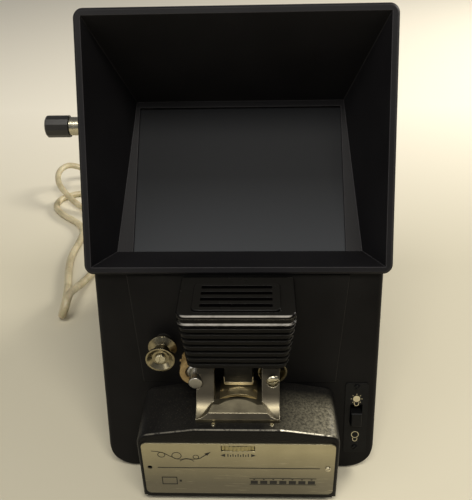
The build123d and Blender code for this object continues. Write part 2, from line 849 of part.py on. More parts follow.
with BuildPart() as gate_casting:
    with BuildSketch(Plane.XY.offset(nose_top_z)):
        with Locations((0, (casting_front_y + casting_back_y) / 2)):
            Rectangle(2 * casting_half, casting_back_y - casting_front_y)
    extrude(amount=casting_floor)
    foot = nose_top_z + casting_foot
    with BuildSketch(front_view(apron_back_y)):
        with BuildLine():
            Line((-casting_half, nose_top_z), (casting_half, nose_top_z))
            Line((casting_half, nose_top_z), (casting_half, foot))
            SagittaArc((casting_half, foot), (apron_bend_half, apron_bend_z), 0.6)
            Line((apron_bend_half, apron_bend_z), (apron_shoulder_half, apron_shoulder_z))
            Line((apron_shoulder_half, apron_shoulder_z), (apron_arch_half, apron_shoulder_z))
            ThreePointArc(
                (apron_arch_half, apron_shoulder_z),
                (0, apron_shoulder_z + apron_arch_rise),
                (-apron_arch_half, apron_shoulder_z),
            )
            Line((-apron_arch_half, apron_shoulder_z), (-apron_shoulder_half, apron_shoulder_z))
            Line((-apron_shoulder_half, apron_shoulder_z), (-apron_bend_half, apron_bend_z))
            SagittaArc((-apron_bend_half, apron_bend_z), (-casting_half, foot), 0.6)
            Line((-casting_half, foot), (-casting_half, nose_top_z))
        make_face()
    extrude(amount=apron_back_y - casting_front_y)
    # the apron's face leans back from its foot, and further back above its bend
    apron_slope = (apron_shoulder_z + apron_arch_rise - apron_bend_z) / (apron_rim_y - apron_bend_y)
    beyond_rim = apron_bend_z + apron_slope * (apron_back_y + 1 - apron_bend_y)
    with BuildSketch(Plane.YZ.offset(-casting_half - 1)):
        with BuildLine():
            Polyline(
                (casting_front_y - 1, foot - (apron_bend_z - foot) / (apron_bend_y - casting_front_y)),
                (apron_bend_y, apron_bend_z),
                (apron_back_y + 1, beyond_rim),
                (casting_front_y - 1, beyond_rim),
                close=True,
            )
        make_face()
    extrude(amount=2 * casting_half + 2, mode=Mode.SUBTRACT)
    # the wings run out flat to the front corners and rise to a steady slope
    for side in (-1, 1):
        with BuildSketch(Plane.YZ.offset(side * wing_inner)):
            with BuildLine():
                Polyline(
                    (casting_front_y, foot),
                    (casting_front_y, nose_top_z),
                    (wing_back_y, nose_top_z),
                    (wing_back_y, wing_top_z),
                    (wing_back_y - 1, wing_top_z),
                    (wing_bend_y, wing_bend_z),
                )
                TangentArc((wing_bend_y, wing_bend_z), (casting_front_y, foot), tangent=(-1, -wing_slope))
            make_face()
        extrude(amount=side * (casting_half - wing_inner))
    # the light's way, the sprocket shaft's notch and the roller pin's seat
    with BuildSketch(Plane.XY.offset(casting_top)):
        with Locations((0, film_y - 1)):
            Rectangle(2 * shoe_half - 3, 12)
    extrude(amount=-casting_floor, mode=Mode.SUBTRACT)
    with BuildSketch(front_view(button_back_y)):
        with Locations((sprocket_x, sprocket_z)):
            Circle(button_radius + seam)
    extrude(amount=button_thickness + 3, mode=Mode.SUBTRACT)
    with BuildSketch(front_view(wing_back_y)):
        with Locations((sprocket_x, sprocket_z)):
            Circle(hub_radius + seam)
        with Locations((right_roller_x, right_roller_z)):
            Circle(pin_radius)
    extrude(amount=wing_back_y - wing_bend_y, mode=Mode.SUBTRACT)
    with BuildSketch(front_view(head_seat_y)):
        with Locations((right_roller_x, right_roller_z)):
            Circle(head_radius + seam)
    extrude(amount=head_seat_y - wing_bend_y, mode=Mode.SUBTRACT)
gate_casting.part.label = "gate_casting"
export_step(gate_casting.part, "parts/gate_casting.step")
print("casting", gate_casting.part.is_valid, len(gate_casting.solids()))

with BuildPart() as gate_screws:
    for screw_x in (gate_screw_left_x, gate_screw_right_x):
        with BuildSketch(Plane.XY.offset(nose_top_z)):
            with Locations((screw_x, casting_front_y - gate_screw_radius - seam)):
                Circle(gate_screw_radius)
        extrude(amount=0.8, taper=15)
gate_screws.part.label = "gate_screws"
export_step(gate_screws.part, "parts/gate_screws.step")

# Gate shoe, the arched track that the film slides over, with a guide on each side
shoe_axis_z = shoe_top_z - shoe_radius
shoe_back_y = casting_back_y + 0.4
with BuildPart() as gate_shoe:
    with BuildSketch(front_view(shoe_front_y)):
        with Locations((0, shoe_axis_z)):
            Circle(shoe_radius)
            Circle(shoe_radius - shoe_thickness, mode=Mode.SUBTRACT)
        with Locations((0, casting_top + shoe_radius)):
            Rectangle(2 * shoe_half, 2 * shoe_radius, mode=Mode.INTERSECT)
    extrude(amount=shoe_front_y - shoe_back_y)
    with BuildSketch(front_view(film_y - film_width / 2 - 0.2)):
        with Locations((0, shoe_axis_z)):
            Circle(shoe_radius + 0.7)
            Circle(shoe_radius - shoe_thickness / 2, mode=Mode.SUBTRACT)
        with Locations((0, casting_top + shoe_radius)):
            with GridLocations(2 * shoe_half - guide_width, 0, 2, 1):
                Rectangle(guide_width, 2 * shoe_radius, mode=Mode.INTERSECT)
    extrude(amount=0.8)
    with BuildSketch(Plane.XY.offset(shoe_top_z + 1)):
        with Locations((0, film_y)):
            Rectangle(aperture_width, aperture_depth)
    extrude(amount=-2 * shoe_thickness - 1, mode=Mode.SUBTRACT)
gate_shoe.part.label = "gate_shoe"
export_step(gate_shoe.part, "parts/gate_shoe.step")
print("shoe", gate_shoe.part.is_valid, len(gate_shoe.solids()))

# Pressure block with its polished shoe; both lift to let the film in
with BuildPart() as pressure_shoe:
    with BuildSketch(front_view(film_y + block_depth / 2)):
        with BuildLine():
            outer = block_half + pressure_shoe_wall
            FilletPolyline(
                (-outer, pressure_shoe_z + 6),
                (-outer, pressure_shoe_z),
                (outer, pressure_shoe_z),
                (outer, pressure_shoe_z + 6),
                (block_half, pressure_shoe_z + 6),
                (block_half, pressure_shoe_z + pressure_shoe_thickness),
                (-block_half, pressure_shoe_z + pressure_shoe_thickness),
                (-block_half, pressure_shoe_z + 6),
                radius=[0, 1.6, 1.6, 0, 0, 0.4, 0.4, 0],
                close=True,
            )
        make_face()
    extrude(amount=block_depth)
    with BuildSketch(Plane.XY.offset(pressure_shoe_z)):
        with Locations((0, film_y)):
            Rectangle(aperture_width + 1, aperture_depth + 1)
    extrude(amount=pressure_shoe_thickness, mode=Mode.SUBTRACT)
pressure_shoe.part.label = "pressure_shoe"
export_step(pressure_shoe.part, "parts/pressure_shoe.step")

with BuildPart() as pressure_block:
    block_bottom = pressure_shoe_z + pressure_shoe_thickness
    with BuildSketch(Plane.XY.offset(block_bottom)):
        with Locations((0, film_y)):
            Rectangle(2 * block_half, block_depth)
            Circle(light_bore_radius, mode=Mode.SUBTRACT)
    extrude(amount=block_top_z - block_bottom)
    fillet(pressure_block.edges().filter_by(Axis.Y).group_by(Axis.Z)[0], 0.4)
pressure_block.part.label = "pressure_block"
export_step(pressure_block.part, "parts/pressure_block.step")


# Film rollers: two dished flanges on a narrow neck
def roller_profile(x, z):
    """Half the roller's section, from its bore to its rims."""
    half = roller_length / 2
    bore = pin_radius + running_clearance
    with BuildSketch(Plane.YZ.offset(x)) as profile:
        with BuildLine():
            Polyline(
                (film_y - half + roller_dish, z + bore),
                (film_y - half + roller_dish, z + roller_neck_radius + 0.4),
                (film_y - half, z + roller_flange_radius - 0.9),
                (film_y - half, z + roller_flange_radius),
                (film_y - half + roller_rim, z + roller_flange_radius),
                (film_y - half + 3.1, z + roller_neck_radius),
                (film_y + half - 3.1, z + roller_neck_radius),
                (film_y + half - roller_rim, z + roller_flange_radius),
                (film_y + half, z + roller_flange_radius),
                (film_y + half, z + roller_flange_radius - 0.9),
                (film_y + half - roller_dish, z + roller_neck_radius + 0.4),
                (film_y + half - roller_dish, z + roller_neck_radius - 1),
                (film_y + half, z + roller_neck_radius - 1.5),
                (film_y + half, z + bore),
                close=True,
            )
        make_face()
    return profile.sketch


with BuildPart() as left_roller:
    left_axis = Axis((left_roller_x, 0, left_roller_z), (0, 1, 0))
    revolve(roller_profile(left_roller_x, left_roller_z), axis=left_axis)
left_roller.part.label = "left_roller"
export_step(left_roller.part, "parts/left_roller.step")

with BuildPart() as right_roller:
    right_axis = Axis((right_roller_x, 0, right_roller_z), (0, 1, 0))
    revolve(roller_profile(right_roller_x, right_roller_z), axis=right_axis)
right_roller.part.label = "right_roller"
export_step(right_roller.part, "parts/right_roller.step")

dish_y = film_y - roller_length / 2 + roller_dish
with BuildPart() as left_roller_pin:
    with BuildSketch(front_view(dish_y - seam)):
        with Locations((left_roller_x, left_roller_z)):
            Circle(2.9)
    extrude(amount=1.3)
    fillet(left_roller_pin.faces().sort_by(Axis.Y)[0].edges(), 0.5)
    with BuildSketch(front_view(dish_y - seam)):
        with Locations((left_roller_x, left_roller_z)):
            Circle(pin_radius)
    extrude(amount=-(face_y(left_roller_z) + wall - dish_y + 1))
    with BuildSketch(front_view(dish_y - seam - 1.3)):
        with Locations(Location((left_roller_x, left_roller_z), 75)):
            Rectangle(8, 0.8)
    extrude(amount=-0.7, mode=Mode.SUBTRACT)
left_roller_pin.part.label = "left_roller_pin"
export_step(left_roller_pin.part, "parts/left_roller_pin.step")

with BuildPart() as right_roller_pin:
    with BuildSketch(front_view(head_seat_y)):
        with Locations((right_roller_x, right_roller_z)):
            Circle(head_radius)
    extrude(amount=head_height)
    fillet(right_roller_pin.faces().sort_by(Axis.Y)[0].edges(), 1.6)
    with BuildSketch(front_view(head_seat_y)):
        with Locations((right_roller_x, right_roller_z)):
            Circle(pin_radius)
    extrude(amount=-(face_y(right_roller_z) + wall - head_seat_y + 1))
    with BuildSketch(front_view(head_seat_y - head_height)):
        with Locations(Location((right_roller_x, right_roller_z), 15)):
            Rectangle(8, 0.9)
    extrude(amount=-1, mode=Mode.SUBTRACT)
right_roller_pin.part.label = "right_roller_pin"
export_step(right_roller_pin.part, "parts/right_roller_pin.step")

# Film sprocket on its shaft, with a hub and an end button in front and its gear inside
sprocket_radius = sprocket_teeth * film_pitch / (2 * pi)
sprocket_front_y = film_y - roller_length / 2
sprocket_back_y = roller_back_y
sprocket_recess = 3.5
tooth_y = film_y + film_width / 2 - 1.4

with BuildPart() as sprocket:
    with BuildSketch(front_view(sprocket_back_y)):
        with Locations((sprocket_x, sprocket_z)):
            Circle(sprocket_radius)
    extrude(amount=roller_length)
    with BuildSketch(front_view(film_y + 1.6)):
        with Locations((sprocket_x, sprocket_z)):
            Circle(sprocket_radius + 1)
            Circle(sprocket_radius - 0.7, mode=Mode.SUBTRACT)
    extrude(amount=4, mode=Mode.SUBTRACT)
    with BuildSketch(front_view(sprocket_front_y)):
        with Locations((sprocket_x, sprocket_z)):
            Circle(cup_rim_radius + seam)
    extrude(amount=-sprocket_recess, mode=Mode.SUBTRACT)
    with BuildSketch(front_view(tooth_y)):
        with Locations((sprocket_x, sprocket_z)):
            with PolarLocations(sprocket_radius + sprocket_tooth_height / 2 - 0.2, sprocket_teeth):
                Rectangle(sprocket_tooth_height + 0.4, 0.9)
    extrude(amount=0.6, both=True)
    with BuildSketch(front_view(sprocket_back_y)):
        with Locations((sprocket_x, sprocket_z)):
            Circle(pin_radius)
    extrude(amount=roller_length, mode=Mode.SUBTRACT)
sprocket.part.label = "sprocket"
export_step(sprocket.part, "parts/sprocket.step")
print("sprocket", sprocket.part.is_valid, len(sprocket.solids()))

with BuildPart() as sprocket_hub:
    with BuildSketch(front_view(sprocket_front_y + sprocket_recess)):
        with Locations((sprocket_x, sprocket_z)):
            Circle(cup_rim_radius)
    extrude(amount=sprocket_recess + seam)
    chamfer(sprocket_hub.faces().sort_by(Axis.Y)[0].edges(), 1.2)
    with BuildSketch(front_view(sprocket_front_y)):
        with Locations((sprocket_x, sprocket_z)):
            Circle(hub_radius)
    extrude(amount=sprocket_front_y - button_back_y)
    with BuildSketch(front_view(sprocket_front_y + sprocket_recess)):
        with Locations((sprocket_x, sprocket_z)):
            Circle(pin_radius)
    extrude(amount=sprocket_front_y + sprocket_recess - button_back_y, mode=Mode.SUBTRACT)
sprocket_hub.part.label = "sprocket_hub"
export_step(sprocket_hub.part, "parts/sprocket_hub.step")

with BuildPart() as sprocket_shaft:
    with BuildSketch(front_view(bracket_y + 2)):
        with Locations((sprocket_x, sprocket_z)):
            Circle(pin_radius)
    extrude(amount=bracket_y + 2 - button_back_y)
    with BuildSketch(front_view(button_back_y)):
        with Locations((sprocket_x, sprocket_z)):
            Circle(button_radius)
    extrude(amount=button_thickness)
    fillet(sprocket_shaft.faces().sort_by(Axis.Y)[0].edges(), 0.5)
sprocket_shaft.part.label = "sprocket_shaft"
export_step(sprocket_shaft.part, "parts/sprocket_shaft.step")

with BuildPart() as sprocket_bush:
    with BuildSketch(front_view(sprocket_back_y + end_play)):
        with Locations((sprocket_x, sprocket_z)):
            Circle(bush_radius)
            Circle(pin_radius + running_clearance, mode=Mode.SUBTRACT)
    extrude(amount=-(gear_y - gear_width / 2 - 1 - sprocket_back_y - end_play))
sprocket_bush.part.label = "sprocket_bush"
export_step(sprocket_bush.part, "parts/sprocket_bush.step")


def gear_face(x, z, teeth, turn, bore):
    """A spur gear's outline with straight flanks and a little backlash."""
    pitch_radius = gear_module * teeth / 2
    root = pitch_radius - 1.25 * gear_module
    tip = pitch_radius + gear_module
    share = 2 * pi / teeth
    slack = gear_backlash / pitch_radius
    points = []
    for tooth in range(teeth):
        middle = radians(turn) + tooth * share
        for reach, half in ((root, -0.33), (tip, -0.13), (tip, 0.13), (root, 0.33)):
            angle = middle + half * share - slack * (half > 0) + slack * (half < 0)
            points.append((x + reach * cos(angle), z + reach * sin(angle)))
    with BuildSketch(front_view(gear_y + gear_width / 2)) as outline:
        with BuildLine():
            Polyline(*points, close=True)
        make_face()
        with Locations((x, z)):
            Circle(bore, mode=Mode.SUBTRACT)
    return outline.sketch


mesh_angle = degrees(atan2(prism_z - sprocket_z, prism_x - sprocket_x))
with BuildPart() as sprocket_gear:
    wheel_face = gear_face(sprocket_x, sprocket_z, sprocket_gear_teeth, mesh_angle, pin_radius)
    extrude(wheel_face, amount=gear_width)
    with BuildSketch(front_view(gear_y + gear_width / 2)):
        with Locations((sprocket_x, sprocket_z)):
            with PolarLocations(gear_module * sprocket_gear_teeth * 0.31, 5):
                Circle(gear_module * sprocket_gear_teeth * 0.11)
    extrude(amount=gear_width, mode=Mode.SUBTRACT)
sprocket_gear.part.label = "sprocket_gear"
export_step(sprocket_gear.part, "parts/sprocket_gear.step")

# Rotating prism, held at its back by a cup on its own shaft
with BuildPart() as prism:
    with BuildSketch(front_view(film_y + prism_length / 2)):
        with Locations(Location((prism_x, prism_z), 0)):
            Rectangle(prism_side, prism_side)
    extrude(amount=prism_length)
prism.part.label = "prism"
export_step(prism.part, "parts/prism.step")

with BuildPart() as prism_shaft:
    with BuildSketch(front_view(film_y + prism_length / 2 + prism_cup)):
        with Locations((prism_x, prism_z)):
            Circle(cup_radius)
    extrude(amount=prism_cup)
    with BuildSketch(front_view(bracket_y + 2)):
        with Locations((prism_x, prism_z)):
            Circle(pin_radius)
    extrude(amount=bracket_y + 2 - film_y - prism_length / 2 - prism_cup)
prism_shaft.part.label = "prism_shaft"
export_step(prism_shaft.part, "parts/prism_shaft.step")

with BuildPart() as prism_pinion:
    extrude(
        gear_face(prism_x, prism_z, pinion_teeth, mesh_angle + 180 + 180 / pinion_teeth, pin_radius),
        amount=gear_width,
    )
prism_pinion.part.label = "prism_pinion"
export_step(prism_pinion.part, "parts/prism_pinion.step")

# Gear bracket behind the face, on four pillars
pillars = [
    (sprocket_x - pillar_side, sprocket_z - pillar_left_drop),
    (sprocket_x - pillar_top_left, sprocket_z + pillar_top_rise),
    (sprocket_x + pillar_side, sprocket_z + pillar_right_rise),
    (prism_x + pillar_low_side, prism_z - pillar_low_drop),
]
with BuildPart() as gear_bracket:
    with BuildSketch(front_view(bracket_y)):
        with BuildLine():
            Polyline(*pillars[::-1], close=True)
        make_face()
        offset(amount=pillar_radius + 1.5)
        with Locations((sprocket_x, sprocket_z), (prism_x, prism_z)):
            Circle(pin_radius + running_clearance, mode=Mode.SUBTRACT)
    extrude(amount=bracket_thickness)
    with BuildSketch(front_view(bracket_y - bracket_thickness)):
        with Locations((sprocket_x, sprocket_z), (prism_x, prism_z)):
            Circle(bush_radius)
            Circle(pin_radius + running_clearance, mode=Mode.SUBTRACT)
    extrude(amount=bracket_y - bracket_thickness - gear_y - gear_width / 2 - end_play)
    with BuildSketch(front_view(bracket_y - bracket_thickness)):
        with Locations(*pillars):
            Circle(pillar_radius)
    extrude(amount=8 * pillar_radius)
    split(bisect_by=face_plane.offset(-wall), keep=Keep.BOTTOM)
gear_bracket.part.label = "gear_bracket"
export_step(gear_bracket.part, "parts/gear_bracket.step")
print("bracket", gear_bracket.part.is_valid, len(gear_bracket.solids()))

# Lamp chassis on the face: a back plate, a shelf and the sleeve that guides the pressure block
cover_slope = (lamp_shoulder_width - lamp_bottom_width) / 2 / (lamp_top_z - lamp_lip_height - lamp_bottom_z)


def cover_half(z):
    """Half the lamp cover's width over its fins at a height."""
    return lamp_bottom_width / 2 + cover_slope * (z - lamp_bottom_z)


sleeve_half = block_half + guide_clearance
sleeve_depth = block_depth + 2 * guide_clearance
shelf_half = cover_half(shelf_z) - fin_depth - lamp_wall - guide_clearance
shelf_front_y = lamp_front_y + fin_depth + 2 * lamp_wall
face_share = cos(radians(face_lean))

with BuildPart() as lamp_chassis:
    with BuildSketch(Plane.XY.offset(shelf_z)):
        with Locations((0, (shelf_front_y + face_y(shelf_z)) / 2)):
            Rectangle(2 * shelf_half, face_y(shelf_z) - shelf_front_y)
    extrude(amount=chassis_thickness)
    with BuildSketch(panel_plane):
        with Locations((0, (shelf_z + chassis_top_z) / 2 / face_share)):
            Rectangle(2 * chassis_half, (chassis_top_z - shelf_z) / face_share)
    extrude(amount=chassis_thickness)
    with BuildSketch(Plane.XY.offset(shelf_z)):
        with Locations((0, film_y)):
            Rectangle(2 * sleeve_half + 2 * sleeve_wall, sleeve_depth + 2 * sleeve_wall)
            Rectangle(2 * sleeve_half, sleeve_depth, mode=Mode.SUBTRACT)
    extrude(amount=-sleeve_length)
    with BuildSketch(Plane.XY.offset(shelf_z)):
        with Locations((0, film_y)):
            Circle(light_bore_radius + 2)
    extrude(amount=chassis_thickness, mode=Mode.SUBTRACT)
    with BuildSketch(front_view(lamp_front_y)):
        with Locations((0, lamp_z)):
            Circle(neck_radius - 1)
    extrude(amount=2 * lamp_front_y, mode=Mode.SUBTRACT)
    split(bisect_by=panel_plane, keep=Keep.TOP)
lamp_chassis.part.label = "lamp_chassis"
export_step(lamp_chassis.part, "parts/lamp_chassis.step")
print("chassis", lamp_chassis.part.is_valid, len(lamp_chassis.solids()))

with BuildPart() as lamp_socket:
    with BuildSketch(front_view(socket_front_y)):
        with Locations((0, lamp_z)):
            Circle(socket_radius)
    extrude(amount=socket_front_y)
    with BuildSketch(front_view(socket_front_y)):
        with Locations((0, lamp_z)):
            Circle(neck_radius)
    extrude(amount=-neck_depth, mode=Mode.SUBTRACT)
    split(bisect_by=panel_plane.offset(chassis_thickness), keep=Keep.TOP)
lamp_socket.part.label = "lamp_socket"
export_step(lamp_socket.part, "parts/lamp_socket.step")

with BuildPart() as lamp:
    with BuildSketch(front_view(socket_front_y + neck_depth)):
        with Locations((0, lamp_z)):
            Circle(neck_radius)
    extrude(amount=neck_depth + bulb_radius)
    with Locations((0, socket_front_y - bulb_radius - 0.5, lamp_z)):
        Sphere(bulb_radius)
lamp.part.label = "lamp"
export_step(lamp.part, "parts/lamp.step")

with BuildPart() as condenser:
    with BuildSketch(Plane.YZ):
        with BuildLine():
            rim_low = (film_y + condenser_radius, shelf_z + chassis_thickness)
            rim_high = (film_y + condenser_radius, shelf_z + chassis_thickness + 1)
            crown = (film_y, shelf_z + chassis_thickness + 3)
            Polyline(crown, (film_y, shelf_z + chassis_thickness), rim_low, rim_high)
            TangentArc(crown, rim_high, tangent=(1, 0))
        make_face()
    revolve(axis=Axis((0, film_y, 0), (0, 0, 1)))
condenser.part.label = "condenser"
export_step(condenser.part, "parts/condenser.step")
print("condenser", condenser.part.is_valid, len(condenser.solids()), condenser.part.volume)

# Lamp cover, a finned hood that slides off forward to change the lamp
lip_low_z = lamp_top_z - lamp_lip_height
panel_middle_y = lamp_front_y + lamp_corner - 2 + lamp_panel_depth / 2


def rounded_front(z, half, front, corner):
    """The lamp cover seen from above at a height: its two front corners are rounded."""
    with BuildSketch(Plane.XY.offset(z)) as outline:
        with BuildLine():
            FilletPolyline(
                (-half, 0),
                (-half, front),
                (half, front),
                (half, 0),
                radius=[0, corner, corner, 0],
                close=True,
            )
        make_face()
    return outline.sketch


def cover_outline(z, inset):
    """The finned part's outline at a height, as far inside the fins' edge as the inset."""
    front = lamp_front_y + lamp_front_step + inset
    return rounded_front(z, cover_half(z) - inset, front, max(lamp_corner - inset, 0.5))


def lip_outline(rise, inset):
    """The lip's outline at a height over its lower edge."""
    half = lamp_lip_width / 2 - inset
    return rounded_front(lip_low_z + rise, half, lamp_front_y + inset, lamp_corner - inset)


with BuildPart() as lamp_cover:
    cover_foot = cover_outline(lamp_bottom_z, fin_depth)
    loft(sections=[cover_foot, cover_outline(lip_low_z, fin_depth)], ruled=True)
    for fin in range(fin_count):
        fin_top = lip_low_z - (fin_pitch - fin_thickness) - fin * fin_pitch
        loft(sections=[cover_outline(fin_top - fin_thickness, 0), cover_outline(fin_top, 0)], ruled=True)
    # the lip: a rounded bead along its lower edge, a shallow channel and the rim above it
    lip_levels = [
        (0, lip_bead / 3),
        (lip_bead / 3, 0),
        (lip_bead * 2 / 3, 0),
        (lip_bead, lip_channel),
        (lamp_lip_height - 1.6 * lip_bead, lip_channel),
        (lamp_lip_height - 1.2 * lip_bead, 0),
        (lamp_lip_height, 0),
    ]
    loft(sections=[lip_outline(rise, inset) for rise, inset in lip_levels], ruled=True)
    fillet(lamp_cover.faces().sort_by(Axis.Z)[-1].edges(), 1.5)
    with BuildSketch(Plane.XY.offset(lamp_top_z)):
        with Locations((0, panel_middle_y)):
            RectangleRounded(lamp_panel_width, lamp_panel_depth, 3)
    extrude(amount=lamp_panel_height)
    fillet(lamp_cover.faces().sort_by(Axis.Z)[-1].edges(), 0.6)
    cavity_inset = fin_depth + lamp_wall
    loft(
        sections=[
            cover_outline(lamp_bottom_z + lamp_wall, cavity_inset),
            cover_outline(lamp_top_z - lamp_wall, cavity_inset),
        ],
        ruled=True,
        mode=Mode.SUBTRACT,
    )
    with BuildSketch(Plane.XY.offset(lamp_top_z + lamp_panel_height)):
        with Locations((0, panel_middle_y)):
            with GridLocations(0, slot_pitch, 1, slot_count):
                Rectangle(slot_length, slot_width)
    extrude(amount=-lamp_panel_height - lamp_wall - 1, mode=Mode.SUBTRACT)
    # the sleeve passes out through the floor as the cover slides
    with BuildSketch(Plane.XY.offset(lamp_bottom_z)):
        notch_half = sleeve_half + sleeve_wall + 2 * guide_clearance
        notch_front = film_y - sleeve_depth / 2 - sleeve_wall - 2 * guide_clearance
        with Locations((0, notch_front / 2)):
            Rectangle(2 * notch_half, -notch_front)
    extrude(amount=lamp_wall, mode=Mode.SUBTRACT)
    split(bisect_by=panel_plane.offset(seam), keep=Keep.TOP)
lamp_cover.part.label = "lamp_cover"
export_step(lamp_cover.part, "parts/lamp_cover.step")
print("lamp cover", lamp_cover.part.is_valid, len(lamp_cover.solids()), lamp_cover.part.bounding_box())

# Switch: plate, sliding knob, body behind the face and two screws
knob_slot_width = switch_knob_width + 2 * seam
knob_slot_height = switch_knob_height + switch_travel + 2 * seam
screw_heights = [(height - switch_z) / face_share for height in (switch_screw_low, switch_screw_high)]

with BuildPart() as switch_plate:
    with BuildSketch(switch_local):
        with Locations((0, plate_local_middle)):
            RectangleRounded(switch_plate_width, plate_local_height, 1.5)
        with Locations((0, switch_travel / 2)):
            Rectangle(knob_slot_width, knob_slot_height, mode=Mode.SUBTRACT)
        for height in screw_heights:
            with Locations((0, height)):
                Circle(switch_screw_radius, mode=Mode.SUBTRACT)
    extrude(amount=switch_plate_thickness)
switch_plate.part.label = "switch_plate"
export_step(switch_plate.part, "parts/switch_plate.step")

with BuildPart() as switch_screws:
    for height in screw_heights:
        with BuildSketch(switch_local.offset(switch_plate_thickness)):
            with Locations((0, height)):
                Circle(2 * switch_screw_radius)
        extrude(amount=0.9, taper=15)
        with BuildSketch(switch_local.offset(switch_plate_thickness)):
            with Locations((0, height)):
                Circle(switch_screw_radius)
        extrude(amount=-switch_plate_thickness - wall - 1)
        with BuildSketch(switch_local.offset(switch_plate_thickness + 0.9)):
            with Locations(Location((0, height), 40)):
                Rectangle(6 * switch_screw_radius, 0.5)
        extrude(amount=-0.5, mode=Mode.SUBTRACT)
switch_screws.part.label = "switch_screws"
export_step(switch_screws.part, "parts/switch_screws.step")

with BuildPart() as switch_body:
    with BuildSketch(switch_local.offset(-wall)):
        with Locations((0, switch_travel / 2)):
            Rectangle(switch_plate_width - 1, 2 * knob_slot_height - 6)
    extrude(amount=-switch_body_depth)
    with BuildSketch(switch_local.offset(-wall)):
        with Locations((0, switch_travel / 2)):
            Rectangle(knob_slot_width, knob_slot_height)
    extrude(amount=-switch_stem, mode=Mode.SUBTRACT)
    for height in (-1, 1):
        with BuildSketch(switch_local.offset(-wall - switch_body_depth)):
            with Locations((0, height * 6)):
                Rectangle(5, 0.8)
        extrude(amount=-5)
switch_body.part.label = "switch_body"
export_step(switch_body.part, "parts/switch_body.step")

with BuildPart() as switch_knob:
    with BuildSketch(switch_local.offset(switch_plate_thickness + switch_knob_proud)):
        Rectangle(switch_knob_width, switch_knob_height)
    extrude(amount=-switch_plate_thickness - switch_knob_proud - wall - switch_stem + seam)
    knob_face = switch_knob.faces().sort_by(Axis((0, 0, 0), face_plane.z_dir))[-1]
    fillet(knob_face.edges(), 0.8)
switch_knob.part.label = "switch_knob"
export_step(switch_knob.part, "parts/switch_knob.step")
print("switch", switch_knob.part.is_valid, switch_body.part.is_valid, len(switch_body.solids()))

# Base plate under the body and the nose, its feet and screws
with BuildPart() as base_plate:
    with BuildSketch(Plane.XY.offset(base_bottom_z)):
        with Locations((0, base_plate_y)):
            RectangleRounded(base_plate_width, base_plate_depth, base_corner)
        with Locations((0, nose_plate_y)):
            RectangleRounded(2 * nose_plate_half, nose_plate_depth, base_corner)
        with Locations(*base_screws):
            Circle(case_screw_radius, mode=Mode.SUBTRACT)
        with Locations(*mount_screw_places):
            Circle(inner_screw_radius, mode=Mode.SUBTRACT)
    extrude(amount=base_thickness)
base_plate.part.label = "base_plate"
export_step(base_plate.part, "parts/base_plate.step")

foot_places = [(-44, nose_front_y + 15), (44, nose_front_y + 15), (-50, rear_y - 16), (50, rear_y - 16)]
with BuildPart() as feet:
    with BuildSketch(Plane.XY):
        with Locations(*foot_places):
            Circle(foot_radius)
    extrude(amount=base_bottom_z)
    chamfer(feet.edges().group_by(Axis.Z)[0], 0.6)
feet.part.label = "feet"
export_step(feet.part, "parts/feet.step")

# Back cover over the opening in the rear wall
with BuildPart() as back_cover:
    with BuildSketch(front_view(rear_y)):
        with Locations((cover_x, cover_z)):
            rim = 2 * cover_border
            RectangleRounded(cover_width + rim, cover_height + rim, back_cover_radius)
            with GridLocations(0, louvre_pitch, 1, louvre_count):
                SlotOverall(louvre_length, louvre_width, mode=Mode.SUBTRACT)
        with Locations(*back_screws):
            Circle(case_screw_radius, mode=Mode.SUBTRACT)
    extrude(amount=-back_cover_thickness)
back_cover.part.label = "back_cover"
export_step(back_cover.part, "parts/back_cover.step")

with BuildPart() as case_screws:
    with BuildSketch(Plane.XY.offset(base_bottom_z - case_screw_head)):
        with Locations(*base_screws):
            Circle(2 * case_screw_radius)
    extrude(amount=case_screw_head)
    with BuildSketch(Plane.XY.offset(base_bottom_z)):
        with Locations(*base_screws):
            Circle(case_screw_radius)
    extrude(amount=base_thickness + wall - 0.5)
    with BuildSketch(front_view(rear_y + back_cover_thickness + case_screw_head)):
        with Locations(*back_screws):
            Circle(2 * case_screw_radius)
    extrude(amount=case_screw_head)
    with BuildSketch(front_view(rear_y + back_cover_thickness)):
        with Locations(*back_screws):
            Circle(case_screw_radius)
    extrude(amount=back_cover_thickness + wall - 0.5)
case_screws.part.label = "case_screws"
export_step(case_screws.part, "parts/case_screws.step")
print("case screws", case_screws.part.is_valid, len(case_screws.solids()))

# Transformer: stacked core with the winding round its middle leg
leg = core_depth / 6
window_height = core_height - 2 * leg
with BuildPart() as transformer_core:
    with BuildSketch(Plane.YZ.offset(core_x - core_stack / 2)):
        with Locations((core_y, foot_height + core_height / 2)):
            Rectangle(core_depth, core_height)
            with GridLocations(3 * leg, 0, 2, 1):
                Rectangle(leg, window_height, mode=Mode.SUBTRACT)
    extrude(amount=core_stack)
transformer_core.part.label = "transformer_core"
export_step(transformer_core.part, "parts/transformer_core.step")

with BuildPart() as transformer_coil:
    with BuildSketch(Plane.XY.offset(foot_height + leg)):
        with Locations((core_x, core_y)):
            RectangleRounded(core_stack + 2 * leg - 1, 4 * leg - 0.6, 3)
            Rectangle(core_stack, 2 * leg, mode=Mode.SUBTRACT)
    extrude(amount=window_height)
transformer_coil.part.label = "transformer_coil"
export_step(transformer_coil.part, "parts/transformer_coil.step")
print("transformer", transformer_core.part.is_valid, transformer_coil.part.is_valid)

